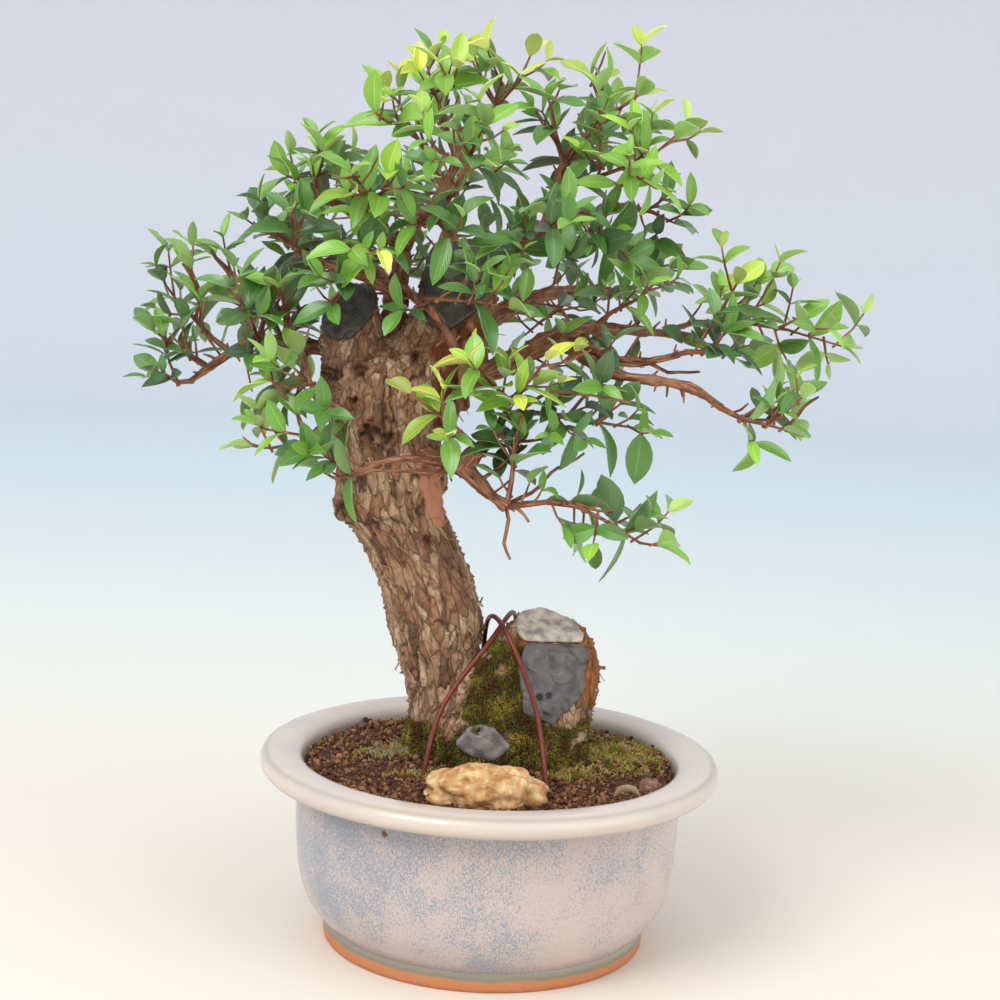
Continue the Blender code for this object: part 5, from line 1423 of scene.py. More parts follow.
def flake(place, heading, normal, long, wide, lift, axis, red):
    """A thin flake of bark, held at one end and bent away from the wood towards the other."""
    bm = bmesh.new()
    masks = bm.verts.layers.float_color.new("masks")
    fibre = bm.verts.layers.float_vector.new("fibre")
    bm.verts.layers.float.new("peeled")
    bmesh.ops.create_grid(bm, x_segments=2, y_segments=1, size=0.5)
    for vert in bm.verts:
        u = vert.co.x + 0.5
        ragged = noise.noise_vector(place / MM + vert.co * 3) * wide * 0.45
        side = vert.co.y * wide * (1 - 0.6 * u)
        vert.co = Vector((u * long + ragged.x, side + ragged.y, lift * long * u * u))
    bmesh.ops.solidify(bm, geom=bm.faces[:], thickness=0.25 * MM)
    heading = (heading - normal * heading.dot(normal)).normalized()
    placed = Matrix((heading, normal.cross(heading), normal)).transposed().to_4x4()
    placed.translation = place
    bmesh.ops.transform(bm, matrix=placed, verts=bm.verts)
    bmesh.ops.recalc_face_normals(bm, faces=bm.faces)
    for vert in bm.verts:
        vert[fibre] = along_grain(vert.co, axis)
        vert[masks] = (0, red, 0, 0)
    return bm


class BONSAI_OT_trunk(Operator):
    """Builds the trunk, stubs, stump and knob with their cracked bark"""

    bl_idname = "bonsai.trunk"
    bl_label = "Trunk"

    def execute(self, context):
        wood = context.scene.bonsai_wood
        shapes = {
            "trunk": wood_column(TRUNK, wood),
            "left_stub": wood_column(LEFT_STUB, wood),
            "right_stub": wood_column(RIGHT_STUB, wood),
            "stump": wood_column(STUMP, wood),
            "knob": wood_knob(wood),
        }
        for name, marks in CUTS:
            saw(shapes[name], marks)
        whole = bmesh.new()
        for shape in shapes.values():
            bmesh.ops.recalc_face_normals(shape, faces=shape.faces)
            gather(whole, shape)
        mesh = remeshed(mesh_of(whole, "wood"), wood.voxel)
        self.crack(mesh, wood)
        piece("wood", mesh, [bark(wood)], "bark", "trunk")
        self.hang_flakes(mesh, wood)
        return {"FINISHED"}

    def crack(self, mesh, wood):
        """Cuts the cracks and plates into the bark, and keeps where they run for its colour."""
        bm = bm_of(mesh)
        bm.normal_update()
        masks = bm.verts.layers.float_color.new("masks")
        fibre = bm.verts.layers.float_vector.new("fibre")
        bare = bm.verts.layers.float.new("peeled")
        planes = [saw_plane(marks) for _, marks in CUTS]
        axis = trunk_axis()
        moves = []
        for vert in bm.verts:
            strand = along_grain(vert.co, axis)
            warp = stray(strand, 8) * 3 * MM + stray(strand, 2.6) * MM
            distances, centres, *_ = noise.voronoi((strand + warp) / wood.plate)
            opened = smoothstep(-0.3, 0.35, waver(strand, 9))
            crack = (1 - smoothstep(0.01, 0.13, distances[1] - distances[0])) * (0.25 + 0.75 * opened)
            lift = noise.noise(centres[0] * 3.1)
            fine = waver(strand, 2.2)
            front = vert.normal.y < 0.3
            crusty = waver(vert.co, 2.4)
            knot = nearness(vert.co, KNOTS) + 0.35 * crusty if front else 0
            hole = smoothstep(0.3, 0.75, knot)
            swollen = smoothstep(0.05, 0.35, knot)
            peeled = smoothstep(0.05, 0.3, nearness(vert.co, PEELED_BARK) + 0.25 * fine) if front else 0
            raw = smoothstep(0.1, 0.4, nearness(vert.co, SAWN_WOOD)) if front else 0
            shelf, shelf_shadow = bark_shelf(vert)
            on_cut = max(sawn_share(vert, point, normal) for point, normal in planes)
            rough = wood.crack * (0.55 * lift - crack) * (1 - peeled) + (0.4 + 0.9 * raw) * MM * fine
            forms = 2.6 * MM * swollen - 3.2 * MM * hole - 0.9 * MM * peeled + 4.4 * MM * shelf
            moves.append((rough + forms) * (1 - on_cut))
            # Dark share: cracks, the knots' dark crust with painted shade in their holes, and painted shadow
            # under the shelf
            dark = max(0.75 * crack * (1 - peeled), hole * (0.85 + 0.4 * crusty), 0.85 * shelf_shadow)
            mossy = smoothstep(0.05, 0.3, moss_share(vert.co))
            vert[fibre] = strand
            vert[masks] = (min(1, dark), max(red_share(vert.co, front), 0.55 * swollen), raw, mossy)
            vert[bare] = peeled
        swell(bm, mesh, moves)

    def hang_flakes(self, mesh, wood):
        """Loose flakes of bark over the trunk, and longer strings of it at the forks."""
        axis = trunk_axis()
        draw = random.Random("flakes")
        flakes = []
        while len(flakes) < wood.flakes:
            face = draw.choice(mesh.polygons)
            clear = max(nearness(face.center, KNOTS + PEELED_BARK), moss_share(face.center))
            if face.center.z < FLAKES_FROM * MM or clear > 0:
                continue
            red = red_share(face.center, face.normal.y < 0.3)
            along = axis_at(axis, face.center.z + 10 * MM) - axis_at(axis, face.center.z - 10 * MM)
            down = -1 if draw.random() < 0.6 else 1
            angle = draw.uniform(-0.8, 0.8) + (1.2 if draw.random() < 0.25 else 0)
            heading = Matrix.Rotation(angle, 3, face.normal) @ (along.normalized() * down)
            sizes = BARK_STRING if red > 0.4 and draw.random() < 0.6 else BARK_FLAKE
            long, wide, lift = [draw.uniform(*ends) for ends in sizes]
            flakes.append(flake(face.center, heading, face.normal, long * MM, wide * MM, lift, axis, red))
        piece("bark_flakes", pile(flakes, "bark_flakes"), [bark(wood)], "bark")


def fibre_branch(whole, points, radii, sides):
    """Adds a round branch whose fibres run along it."""
    bm, rings = tube(points, [(radius, radius) for radius in radii], sides, fibrous=True)
    layer = bm.verts.layers.float_vector["fibre"]
    frames = ring_frames(points)
    run = 0
    for i, (ring, place) in enumerate(zip(rings, frames)):
        if i:
            run += (points[i] - points[i - 1]).length
        back = place.inverted()
        for vert in ring:
            local = back @ vert.co
            vert.co += (vert.co - points[i]) * 0.22 * waver(vert.co, 2.4)
            vert[layer] = Vector((local.x, local.y, run * 0.12)) + points[0]
    gather(whole, bm)


class BONSAI_OT_branches(Operator):
    """Grows the bare branches with their dead spurs"""

    bl_idname = "bonsai.branches"
    bl_label = "Branches"

    def execute(self, context):
        wood = context.scene.bonsai_wood
        whole = bmesh.new()
        whole.verts.layers.float_vector.new("fibre")
        for name, route in LIMBS.items():
            draw = random.Random(name)
            marks = [Vector((*seen(*place), radius * MM)) for *place, radius in route]
            smooth = smooth_route(marks, 2.4 * MM)
            points = [Vector(mark[:3]) for mark in smooth]
            last = len(points) - 1
            radii = []
            for i, mark in enumerate(smooth):
                flare = 1 + 0.3 * math.exp(-((i / 5) ** 2))
                knotty = 0.1 * math.sin(i * 0.9 + draw.random()) + 0.22 * waver(Vector(mark[:3]), 5)
                radii.append(mark[3] * flare * (0.94 + knotty))
            points = [
                point + stray(point, 14) * 0.9 * MM * math.sin(math.pi * i / last)
                for i, point in enumerate(points)
            ]
            fibre_branch(whole, points, radii, 12)
            for _ in range(len(route) * 2):
                i = draw.randrange(2, last)
                heading = (points[i] - points[i - 1]).normalized()
                side = some_side(heading, draw)
                heading = (side + heading * draw.uniform(-0.1, 0.9)).normalized()
                reach = draw.uniform(3, 9) * MM
                start = points[i] + heading * radii[i] * 0.4
                bend = start + heading * reach * 0.5 + stray(start, 3) * 0.6 * MM
                tip = start + heading * reach + stray(start, 2) * 1.2 * MM
                thick = min(0.9 * MM, radii[i] * 0.5)
                fibre_branch(whole, [start, bend, tip], [thick, thick * 0.75, thick * 0.5], 6)
        for route in TWIGS:
            points = smooth_route([seen(*place) for place in route], 5 * MM)
            points = [point + stray(point, 9) * 1.1 * MM for point in points]
            radii = [TWIG_RADIUS * MM * (1 - 0.5 * i / len(points)) for i in range(len(points))]
            fibre_branch(whole, points, radii, 7)
        piece("branches", mesh_of(whole, "branches"), [branch_bark(wood)], "bark", "trunk")
        return {"FINISHED"}


# Wound paste and tie wires


class BONSAI_OT_paste(Operator):
    """Smears the wound paste over the saw cuts"""

    bl_idname = "bonsai.paste"
    bl_label = "Wound paste"

    def execute(self, context):
        settings = context.scene.bonsai_paste
        tones = sorted(set(SEALS.values()))
        finishes = {tone: paste(tone + "_wound_paste", getattr(settings, tone)) for tone in tones}
        for name in SEALS:
            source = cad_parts["seal_" + name].data.copy()
            bm = bm_of(source)
            bmesh.ops.remove_doubles(bm, verts=bm.verts, dist=1e-6)
            bmesh.ops.recalc_face_normals(bm, faces=bm.faces)
            bm.to_mesh(source)
            bm.free()
            mesh = remeshed(source, settings.voxel)
            bm = bm_of(mesh)
            for _ in range(4):
                bmesh.ops.smooth_vert(
                    bm, verts=bm.verts, factor=0.5, use_axis_x=True, use_axis_y=True, use_axis_z=True
                )
            bm.normal_update()
            moves = []
            for vert in bm.verts:
                swirl = vert.co + stray(vert.co, 9) * 5 * MM
                dent = waver(vert.co, 11) + 0.2 * waver(vert.co, 4)
                fold = 1 - smoothstep(0, 0.1, abs(waver(swirl, 18)))
                pit = smoothstep(0, 0.7, nearness(vert.co, PASTE_PITS)) if vert.normal.y < 0 else 0
                moves.append(settings.dent * (0.3 + dent) - (0.5 * fold + 2.6 * pit) * MM)
            swell(bm, mesh, moves)
            piece("paste_" + name, mesh, [finishes[SEALS[name]]], "paste", "seal_" + name)
        return {"FINISHED"}


def pushed_out(route, solid, clearance):
    """The route with each point at least the clearance outside the solid."""
    moved = []
    for point in route:
        near, normal, _, distance = solid.find_nearest(point)
        away = (point - near).normalized()
        if away.dot(normal) < INSIDE_LEAN and distance < DEEPEST_INSIDE * MM:
            point = near + normal * clearance
        elif distance < clearance:
            point = near + away * clearance
        moved.append(point)
    return moved


def node_tree(name):
    """A tree of a frame node's faces, for nearness and crossing."""
    bm = bm_of(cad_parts[name].data)
    found = BVHTree.FromBMesh(bm)
    bm.free()
    return found


class BONSAI_OT_wires(Operator):
    """Bends the two tie wires over the stump"""

    bl_idname = "bonsai.wires"
    bl_label = "Tie wires"

    def execute(self, context):
        wire = context.scene.bonsai_wire
        finish = wire_coating(wire)
        solids = [node_tree(name) for name in ("trunk", *["seal_" + name for name in SEALS], "rock")]
        for name, marks in WIRES.items():
            route = smooth_route([seen(*mark) for mark in marks], WIRE_STEP * MM)
            for turn in range(5):
                for solid in solids:
                    route = pushed_out(route, solid, (1.25 + WIRE_CLEARANCE) * MM)
                if turn < 4:
                    eased = [(a + 2 * b + c) / 4 for a, b, c in zip(route, route[1:], route[2:])]
                    route = [route[0], *eased, route[-1]]
            solids.append(node_tree("wire_" + name))
            fine = smooth_route(route, 2 * MM)
            bm, _ = tube(fine, [(wire.radius, wire.radius)] * len(fine), wire.sides)
            piece("tie_wire_" + name, mesh_of(bm, "tie_wire_" + name), [finish], "wire", "wire_" + name)
        return {"FINISHED"}


# Moss and lichen


def frond(place, heading, reach, width, tone):
    """One thin frond of moss as a sharp three-sided cone."""
    bm = bmesh.new()
    layer = tint_layer(bm)
    bmesh.ops.create_cone(bm, cap_ends=True, segments=3, radius1=width, radius2=0, depth=reach)
    for vert in bm.verts:
        # Painted shade at the frond's root, none at its tip
        vert[layer] = (tone, 0 if vert.co.z > 0 else 0.85, 0, 1)
    bmesh.ops.translate(bm, vec=(0, 0, reach * 0.4), verts=bm.verts)
    turn = Vector((0, 0, 1)).rotation_difference(heading).to_matrix().to_4x4()
    bmesh.ops.transform(bm, matrix=Matrix.Translation(place) @ turn, verts=bm.verts)
    return bm


def moss_share(point):
    """How mossy the wood is at a point: most at the stump's front and foot, none on the upper trunk."""
    height = point.z / MM
    across, _ = shown_at(point)
    climb, *climbed = MOSS_CLIMB
    drop, *dropped = MOSS_DROP
    reach = MOSS_TOP + climb * smoothstep(*climbed, across) - drop * smoothstep(*dropped, across)
    low = 1 - smoothstep(reach - MOSS_FADE, reach, height)
    return low * (0.7 + 1.1 * waver(point, 11))


class BONSAI_OT_moss(Operator):
    """Grows moss on the stump and lichen on the soil"""

    bl_idname = "bonsai.moss"
    bl_label = "Moss"

    def execute(self, context):
        moss = context.scene.bonsai_moss
        wood = bpy.data.objects["wood"].data
        draw = random.Random("moss")
        faces = []
        for face in wood.polygons:
            if face.center.z > MOSS_FOOT * MM:
                amount = moss_share(face.center)
                if amount > 0.15:
                    faces.append((face.center.copy(), face.normal.copy(), amount))
        if not faces:
            raise RuntimeError("The wood has no face that moss can grow on")
        tones = [moss.gold, moss.green, shaded(moss.gold, 0.6), shaded(moss.green, 0.5), moss.rust]
        finish = tinted("clump_moss", 0.9, tones, MOSS_GRIT)
        piece("moss_on_wood", pile(self.on_wood(moss, faces, draw), "moss_on_wood"), [finish], "soil")
        tones = [moss.rust, moss.green, moss.gold, moss.lichen]
        finish = tinted("dry_moss_and_lichen", 0.95, tones, MOSS_GRIT)
        piece("moss_on_soil", pile(self.on_soil(moss), "moss_on_soil"), [finish], "soil")
        return {"FINISHED"}

    def on_wood(self, moss, faces, draw):
        """Short fronds that stand off the wood, in tufts."""
        for _ in range(moss.on_wood):
            centre, normal, amount = draw.choice(faces)
            tuft = waver(centre, 5)
            lean = Vector([draw.uniform(-0.9, 0.9) for _ in range(3)]) + Vector((0, 0, 0.35))
            heading = (normal + lean * 0.75).normalized()
            reach = moss.frond * draw.uniform(0.5, 1.2) * (0.8 + 0.9 * max(0, tuft) + 0.4 * amount)
            tone = 0.52 + 1.1 * waver(centre, 8) + draw.uniform(-0.3, 0.3)
            yield frond(centre, heading, reach, moss.width, min(1, max(0, tone)))

    def on_soil(self, moss):
        """Tangled dry moss and lichen in patches on the soil."""
        weights = [wide * deep for _, _, wide, deep in SOIL_PATCHES]
        draw = random.Random("lichen")
        for _ in range(moss.on_soil):
            x, y, wide, deep = draw.choices(SOIL_PATCHES, weights)[0]
            x, y = x + draw.gauss(0, 0.5) * wide, y + draw.gauss(0, 0.5) * deep
            if math.hypot(x, y) > SOIL_PATCH_REACH:
                continue
            place = Vector((x * MM, y * MM, soil_height(x, y) + 0.4 * MM))
            heading = Vector((draw.uniform(-1, 1), draw.uniform(-1, 1), draw.uniform(0.15, 1))).normalized()
            reach = moss.frond * draw.uniform(0.6, 1.5)
            tone = (0.9 if x < 0 else 0.5) + 0.8 * waver(place, 8) + draw.uniform(-0.3, 0.3)
            yield frond(place, heading, reach, moss.width * 1.2, min(1, max(0, tone)))


# Twigs and leaves


class Crowd:
    """The pieces placed so far, so that new ones stay clear of them."""

    CELL = 30 * MM

    def __init__(self):
        self.large = []
        self.cells = {}

    def ball(self, bm):
        middle = sum((vert.co for vert in bm.verts), Vector()) / len(bm.verts)
        return middle, max((vert.co - middle).length for vert in bm.verts)

    def cell(self, middle):
        return tuple(math.floor(value / self.CELL) for value in middle)

    def add(self, owner, kind, bm):
        middle, reach = self.ball(bm)
        entry = (owner, kind, middle, reach, BVHTree.FromBMesh(bm))
        if reach > self.CELL / 2:
            self.large.append(entry)
        else:
            self.cells.setdefault(self.cell(middle), []).append(entry)

    def near(self, middle, reach):
        yield from self.large
        low = self.cell(middle - Vector((reach + self.CELL / 2,) * 3))
        high = self.cell(middle + Vector((reach + self.CELL / 2,) * 3))
        for x in range(low[0], high[0] + 1):
            for y in range(low[1], high[1] + 1):
                for z in range(low[2], high[2] + 1):
                    yield from self.cells.get((x, y, z), ())

    def meets(self, owner, kind, bm):
        """Whether the piece crosses another: twigs pass through their own spray's, a leaf crosses none."""
        middle, reach = self.ball(bm)
        tree = BVHTree.FromBMesh(bm)
        for other, other_kind, other_middle, other_reach, other_tree in self.near(middle, reach):
            if other == owner and kind == other_kind == "twig":
                continue
            if (middle - other_middle).length < reach + other_reach and tree.overlap(other_tree):
                return True
        return False


def slim(route, thick):
    """A three-sided stand-in for a twig, for tests of crossing."""
    last = len(route) - 1
    radii = [(thick + (TIP_RADIUS - thick) * i / last) * MM for i in range(len(route))]
    bm, _ = tube(route, [(radius, radius) for radius in radii], 3)
    return bm


def grow_stem(crowd, name, route, thick):
    """A stem, bent back or forward past its second point where it would cross another piece."""
    for bend in BEND_STEPS:
        last = len(route) - 1
        shift = Vector((0, bend * MM, 0))
        bent = [point + shift * max(0, i - 1) / max(1, last - 1) for i, point in enumerate(route)]
        bm = slim(bent, thick)
        crosses = crowd.meets(name, "twig", bm)
        if not crosses:
            crowd.add(name, "twig", bm)
        bm.free()
        if not crosses:
            return bent, thick
    return None


def seated(crowd, name):
    """A spray's first stem, from the first place off its limb's middle where it stands clear of the wood."""
    limb, number, _, stems = SPRAYS[name]
    root = seen(*LIMBS[limb][number][:3])
    first = [seen(*mark) for mark in stems[0][1]]
    heading = (first[0] - root).normalized()
    start = root + heading * SEAT_STEP * MM
    while True:
        bm = slim([start, first[0]], STEM_RADIUS)
        crosses = crowd.meets(name, "twig", bm)
        bm.free()
        if not crosses:
            return [start + heading * FIT_GAP * MM, *first]
        start += heading * SEAT_STEP * MM


def side_shoots(name, route):
    """One or two short shoots off a spray's first stem, each leaning forwards to a side of its own."""
    whole = route_length(route)
    for i in range(2 if whole > LONG_STEM * MM else 1):
        draw = random.Random(f"{name} shoot {i}")
        start, along = walk(route, whole * (0.32 + 0.34 * i + draw.uniform(-0.05, 0.05)))
        side = some_side(along, draw)
        heading = (along * 0.75 + (side + Vector((0, 0, 0.6))).normalized() * 0.8).normalized()
        yield [start, start + heading * SHOOT_LENGTH * MM * draw.uniform(0.7, 1.2)]


def proxy_leaf(place, size, droop, start, leaf):
    """The frame's plain blade, for tests of crossing."""
    marks = [(start / size, 0.035, 0.3), *PROXY_STATIONS, (1, 0.035, 0.3)]
    points = [Vector((part * size, 0, -droop * size * part**2)) for part, *_ in marks]
    width = size * leaf.width / math.sqrt(3)
    bm, _ = tube(points, [(wide * width, -thick / 1.5 * MM) for _, wide, thick in marks], 3)
    bmesh.ops.transform(bm, matrix=place, verts=bm.verts)
    return bm


def leaf_places(route, key, crossed, spacing, most):
    """Where the leaves of a twig sit: in pairs face to face, each pair turned a quarter from the last."""
    whole = route_length(route) - LEAF_TIP_INSET * MM
    pairs = min(most, max(1, round(whole / spacing)))
    for pair in range(pairs):
        point, along = walk(route, max(whole - pair * spacing, whole * 0.25))
        across = along.cross(Vector((0, 0, 1)))
        side = across.normalized() if across.length > 0.2 else along.orthogonal().normalized()
        for half in range(2):
            draw = random.Random(f"{key} {pair} {half}")
            size = draw.uniform(0.78, 1.15) * (0.8 if pair == 0 else 1)
            spread = draw.uniform(34, 50) if pair == 0 else draw.uniform(52, 76)
            turn = 180 * half + 90 * ((pair + crossed) % 2) + draw.uniform(-18, 18)
            droop = draw.uniform(0.04, 0.24)
            yield pair, (point, along, side, math.radians(turn), math.radians(spread), size, droop)


def leaf_frame(point, along, side, turn, spread, lean):
    """A frame with X along the blade and Z out of its upper face, leaned over a little."""
    outward = Matrix.Rotation(turn, 3, along) @ side
    heading = (along * math.cos(spread) + outward * math.sin(spread) + Vector((0, 0, 0.12))).normalized()
    face = along * 0.7 + Vector((0, -0.15, 0.75)) + lean
    face = (face - heading * face.dot(heading)).normalized()
    placed = Matrix((heading, face.cross(heading), face)).transposed().to_4x4()
    placed.translation = point
    return placed


def leaf_tone(name, shift):
    """The age of a leaf from 0, old, to 1, unfolding, after how fresh its spray is."""
    return 0.1 + 0.65 * SPRAYS[name][2] + shift


def outline(u):
    """Half width of the blade at a share of its length: widest before the middle, drawn out to a point."""
    stalk = 0.05 * (1 - u)
    return max(stalk, 2.5 * max(0, u - 0.05) ** 0.62 * (1 - u) ** 0.82)


def blade(place, size, droop, tone, draw, leaf, fine):
    """A leaf: a thin blade folded a little along its midrib, arched to its tip and waved at its edge."""
    bm = bmesh.new()
    uv = bm.loops.layers.uv.new("leaf")
    layer = tint_layer(bm)
    bmesh.ops.create_grid(bm, x_segments=6 if fine else 7, y_segments=2 if fine else 4, size=0.5)
    for face in bm.faces:
        for loop in face.loops:
            loop[uv].uv = (loop.vert.co.x + 0.5, loop.vert.co.y + 0.5)
    half = size * leaf.width / 2 * leaf.fullness * draw.uniform(0.68, 1.2)
    fold = draw.uniform(0.2, 0.7)
    wave = draw.uniform(-0.15, 0.15)
    sway = draw.uniform(-0.12, 0.12)
    twist = draw.uniform(-0.5, 0.5)
    shade = draw.random()
    for vert in bm.verts:
        u = vert.co.x + 0.5
        v = vert.co.y * 2
        wide = half * outline(u)
        rise = abs(v) ** 1.4 * wide * fold + wave * wide * v * math.sin(u * 7) + v * wide * twist * u
        vert.co = Vector((u * size, v * wide + sway * size * u * u, rise - 1.4 * droop * size * u * u))
    bmesh.ops.remove_doubles(bm, verts=bm.verts, dist=1e-6)
    bmesh.ops.recalc_face_normals(bm, faces=bm.faces)
    if sum(face.normal.z for face in bm.faces) < 0:
        bmesh.ops.reverse_faces(bm, faces=bm.faces)
    bmesh.ops.solidify(bm, geom=bm.faces[:], thickness=leaf.thickness)
    bm.normal_update()
    for vert in bm.verts:
        vert[layer] = (tone, shade, 1.0 if vert.normal.z < 0 else 0.0, 1)
    bmesh.ops.transform(bm, matrix=place, verts=bm.verts)
    return bm


class BONSAI_OT_sprays(Operator):
    """Grows the leafy sprays on their stems"""

    bl_idname = "bonsai.sprays"
    bl_label = "Leafy sprays"

    def execute(self, context):
        self.leaf = context.scene.bonsai_leaf
        self.crowd = Crowd()
        for name in ("trunk", *["seal_" + name for name in SEALS]):
            bm = bm_of(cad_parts[name].data)
            self.crowd.add(name, "twig", bm)
            bm.free()
        self.low = CAD_BOX[0] - (CAD_BOX[1] - CAD_BOX[0]) * 0.015
        self.high = CAD_BOX[1] + (CAD_BOX[1] - CAD_BOX[0]) * 0.015
        self.skin = leaf_skin(self.leaf)
        self.bark = branch_bark(context.scene.bonsai_wood)
        shapes = {name: bmesh.new() for name in SPRAYS}
        twigs = self.grow_twigs()
        for name, found in twigs.items():
            for index, (route, _) in enumerate(found):
                places = leaf_places(route, f"{name} {index}", index, LEAF_SPACING * MM, MOST_PAIRS)
                for pair, place in places:
                    tone = leaf_tone(name, 0.14 if pair == 0 else 0)
                    self.grow_leaf(shapes[name], name, place, tone)
        for name, found in twigs.items():
            self.grow_along_stems(shapes[name], name, found)
        owners = {}
        for name, (limb, *_) in SPRAYS.items():
            owners.setdefault(limb, name)
        for limb, name in owners.items():
            self.grow_along_limb(shapes[name], name, twigs[name], limb)
        for name, bm in shapes.items():
            fresh = SPRAYS[name][2]
            slot = "new_leaf" if fresh > 0.66 else "grown_leaf" if fresh > 0.33 else "old_leaf"
            leaves = bmesh.new()
            gather(leaves, bm)
            for face in leaves.faces:
                face.material_index = 0
            first_twig_face = len(leaves.faces)
            for route, thick in twigs[name]:
                last = len(route) - 1
                sunk = route[0] - (route[1] - route[0]).normalized() * STEM_SINK * MM
                tip = min(thick, TIP_RADIUS) * 0.6
                radii = [(thick * 0.95 + (tip - thick * 0.95) * i / last) * MM for i in range(len(route))]
                fibre_branch(leaves, [sunk, *route[1:]], radii, 7 if thick > TIP_RADIUS else 5)
            leaves.faces.ensure_lookup_table()
            for face in leaves.faces[first_twig_face:]:
                face.material_index = 1
            mesh = mesh_of(leaves, "leafy_" + name)
            piece("leafy_" + name, mesh, [self.skin, self.bark], slot, "spray_" + name)
        return {"FINISHED"}

    def grow_twigs(self):
        """Every spray's first stem, its forks, then their side shoots, as in the frame."""
        crowd = self.crowd
        twigs = {name: [grow_stem(crowd, name, seated(crowd, name), STEM_RADIUS)] for name in SPRAYS}
        for name, stems in twigs.items():
            first = stems[0][0]
            for fork, marks in SPRAYS[name][3][1:]:
                grown = grow_stem(crowd, name, [first[fork], *[seen(*mark) for mark in marks]], SHOOT_RADIUS)
                if grown:
                    stems.append(grown)
        for name, stems in twigs.items():
            for shoot in side_shoots(name, stems[0][0]):
                bm = slim(shoot, SHOOT_RADIUS)
                if not crowd.meets(name, "twig", bm):
                    crowd.add(name, "twig", bm)
                    stems.append((shoot, SHOOT_RADIUS))
                bm.free()
        return twigs

    def inside(self, bm):
        return all(
            low <= value <= high
            for vert in bm.verts for low, value, high in zip(self.low, vert.co, self.high)
        )

    def grow_leaf(self, shape, name, place, tone, scale=1.0):
        """A leaf at its place, turned a little round the twig where it would cross another, or left out."""
        point, along, side, turn, spread, size, droop = place
        long = self.leaf.length * size * scale
        lean = stray(point, 7) * 0.9 if scale < 1 else Vector()
        for swing in LEAF_SWINGS:
            placed = leaf_frame(point, along, side, turn + math.radians(swing), spread, lean)
            stand_in = proxy_leaf(placed, long, droop, LEAF_CLEAR * MM, self.leaf)
            fits = self.inside(stand_in) and not self.crowd.meets(name, "leaf", stand_in)
            if fits:
                self.crowd.add(name, "leaf", stand_in)
            stand_in.free()
            if fits:
                draw = random.Random(f"{name} {long:.5f} {turn:.3f}")
                tone = min(1, max(0, tone + draw.uniform(-0.16, 0.16)))
                gather(shape, blade(placed, long, droop, tone, draw, self.leaf, scale < 1))
                return

    def grow_along_stems(self, shape, name, found):
        """Fine shoots along each stem of a spray."""
        for index, (route, _) in enumerate(list(found)):
            whole = route_length(route)
            steps = max(1, round(whole / self.leaf.spacing))
            for step in range(steps):
                key = f"{name} {index} {step}"
                draw = random.Random(f"{key} fine")
                part = (step + draw.uniform(0.2, 0.8)) / steps
                start, along = walk(route, whole * part)
                tone = leaf_tone(name, 0.3 * (part - 0.6))
                self.grow_shoot(shape, name, found, key, draw, (start, along, 0), tone)

    def grow_along_limb(self, shape, name, found, limb):
        """Fine shoots off the outer part of a bare branch, which belong to its first spray."""
        points = [seen(*place) for *place, _ in LIMBS[limb]]
        whole = route_length(points)
        steps = round(whole * (1 - LIMB_BARE) / self.leaf.limb_spacing)
        for step in range(steps):
            key = f"{limb} {step}"
            draw = random.Random(f"{key} fine")
            part = LIMB_BARE + (1 - LIMB_BARE) * (step + draw.random()) / steps
            start, along = walk(points, whole * part)
            thick, thin = LIMBS[limb][0][3], LIMBS[limb][-1][3]
            clear = (thick + (thin - thick) * part) * MM
            self.grow_shoot(shape, name, found, key, draw, (start, along, clear), leaf_tone(name, -0.15))

    def grow_shoot(self, shape, name, found, key, draw, origin, tone):
        """A fine shoot that rises off the wood, with a few pairs of leaves, where there is room for it."""
        start, along, clear = origin
        side = some_side(along, draw)
        heading = (along * 0.6 + (side + Vector((0, 0, 0.45))).normalized()).normalized()
        reach = self.leaf.shoot * draw.uniform(0.5, 1.4)
        foot = start + side * clear
        bend = foot + heading * reach * 0.55
        tip = bend + (heading + Vector((0, 0, 0.35))).normalized() * reach * 0.45
        bm = slim([foot, bend, tip], SHOOT_CLEAR)
        covers_trunk = tip.y < 0 and nearness(tip, TRUNK_IN_SIGHT) > 0
        if self.inside(bm) and not covers_trunk and not self.crowd.meets(name, "twig", bm):
            self.crowd.add(name, "twig", bm)
            found.append(([start, bend, tip], FINE_RADIUS))
            most = 0 if draw.random() < self.leaf.bare else draw.choice((2, 2, 3))
            for pair, place in leaf_places([foot, bend, tip], key, len(found), self.leaf.pairs, most):
                scale = draw.uniform(0.42, 0.97) if pair == 0 else draw.uniform(0.5, 0.99)
                self.grow_leaf(shape, name, place, tone + (0.16 if pair == 0 else -0.04), scale)
        bm.free()


# Stage


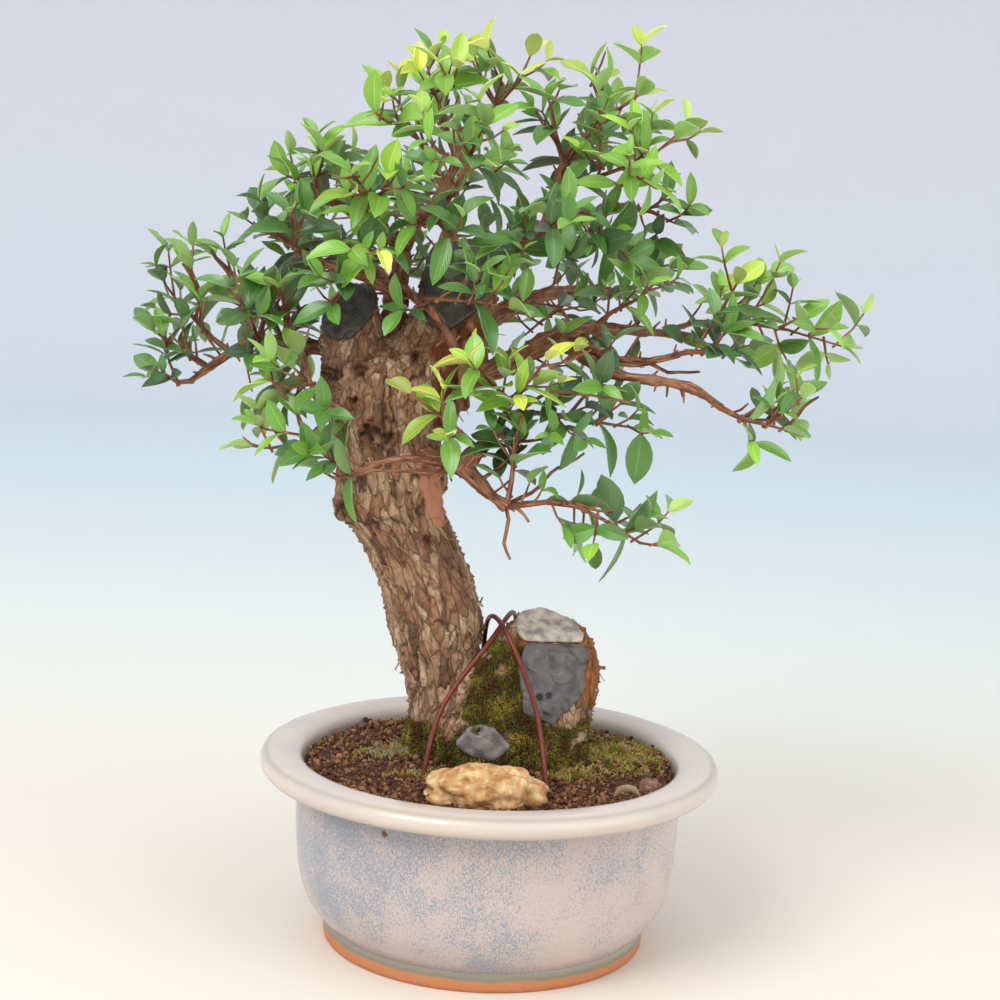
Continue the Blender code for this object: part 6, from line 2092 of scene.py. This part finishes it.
class BONSAI_OT_stage(Operator):
    """Sets up the floor, the soft lights and the camera"""

    bl_idname = "bonsai.stage"
    bl_label = "Stage"

    def execute(self, context):
        stage = context.scene.bonsai_stage
        start = stage.radius - FLOOR_BEND
        profile = [(0, 0), (start, 0)]
        for i in range(1, BEND_SIDES + 1):
            turn = math.pi / 2 * i / BEND_SIDES
            profile.append((start + FLOOR_BEND * math.sin(turn), FLOOR_BEND * (1 - math.cos(turn))))
        mesh = mesh_of(turned([*profile, (stage.radius, BACKDROP_HEIGHT)], 96), "floor")
        if mesh.polygons[0].normal.z < 0:
            mesh.flip_normals()
        mesh.shade_smooth()
        mesh.materials.append(backdrop(stage))
        floor = bpy.data.objects.new("floor", mesh)
        context.scene.collection.objects.link(floor)
        floor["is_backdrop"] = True
        world = bpy.data.worlds.new("studio")
        world.use_nodes = True
        sky = world.node_tree.nodes["Background"]
        sky.inputs[0].default_value = (*srgb("#F4F6FA"), 1)
        sky.inputs[1].default_value = stage.sky
        context.scene.world = world
        context.scene.view_settings.view_transform = "Standard"
        for name, (size, place) in LIGHTS.items():
            self.light(name, getattr(stage, name), size, Vector(place))
        self.camera(context)
        return {"FINISHED"}

    def light(self, name, power, size, place):
        lamp = bpy.data.lights.new(name, "AREA")
        lamp.energy = power
        lamp.size = size
        obj = bpy.data.objects.new(name, lamp)
        obj.location = place
        obj.rotation_euler = (SIGHT_TARGET * MM - place).to_track_quat("-Z", "Y").to_euler()
        bpy.context.scene.collection.objects.link(obj)

    def camera(self, context):
        lens = bpy.data.cameras.new("camera")
        lens.sensor_width = SENSOR_WIDTH
        lens.lens = SENSOR_WIDTH * SIGHT_FOCUS / (2 * PICTURE_MIDDLE)
        lens.clip_start = 0.01
        obj = bpy.data.objects.new("camera", lens)
        context.scene.collection.objects.link(obj)
        turn = Matrix((SIGHT_RIGHT, SIGHT_TOP, -SIGHT_AHEAD)).transposed().to_4x4()
        turn.translation = SIGHT_EYE * MM
        obj.matrix_world = turn
        context.scene.camera = obj


class BONSAI_PT_panel(Panel):
    """Lists the pieces of the bonsai with their sizes and colours"""

    bl_label = "Myrtle bonsai"
    bl_idname = "BONSAI_PT_panel"
    bl_space_type = "VIEW_3D"
    bl_region_type = "UI"
    bl_category = "Bonsai"

    def draw(self, context):
        for operator in OPERATORS:
            self.layout.operator(operator.bl_idname)
        for name, group in SETTINGS.items():
            box = self.layout.box()
            box.label(text=name.capitalize())
            for field in group.__annotations__:
                box.prop(getattr(context.scene, "bonsai_" + name), field)


SETTINGS = {
    "pot": PotSettings,
    "soil": SoilSettings,
    "moss": MossSettings,
    "wood": WoodSettings,
    "paste": PasteSettings,
    "wire": WireSettings,
    "rock": RockSettings,
    "leaf": LeafSettings,
    "stage": StageSettings,
}
OPERATORS = [
    BONSAI_OT_pot,
    BONSAI_OT_drain_meshes,
    BONSAI_OT_soil,
    BONSAI_OT_rock,
    BONSAI_OT_trunk,
    BONSAI_OT_branches,
    BONSAI_OT_paste,
    BONSAI_OT_wires,
    BONSAI_OT_moss,
    BONSAI_OT_sprays,
    BONSAI_OT_stage,
]
CLASSES = [*SETTINGS.values(), *OPERATORS, BONSAI_PT_panel]


def register():
    noise.seed_set(STRAY_SEED)
    for cls in CLASSES:
        bpy.utils.register_class(cls)
    for name, group in SETTINGS.items():
        setattr(bpy.types.Scene, "bonsai_" + name, PointerProperty(type=group))


def unregister():
    for name in SETTINGS:
        delattr(bpy.types.Scene, "bonsai_" + name)
    for cls in reversed(CLASSES):
        bpy.utils.unregister_class(cls)


def main():
    register()
    bpy.ops.bonsai.pot()
    bpy.ops.bonsai.drain_meshes()
    bpy.ops.bonsai.soil()
    bpy.ops.bonsai.rock()
    bpy.ops.bonsai.trunk()
    bpy.ops.bonsai.branches()
    bpy.ops.bonsai.paste()
    bpy.ops.bonsai.wires()
    bpy.ops.bonsai.moss()
    bpy.ops.bonsai.sprays()
    bpy.ops.bonsai.stage()
    boxes = {"cad": CAD_BOX, "visual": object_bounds()}
    {name: [list(corner) for corner in box] for name, box in boxes.items()}


if __name__ == "__main__":
    main()
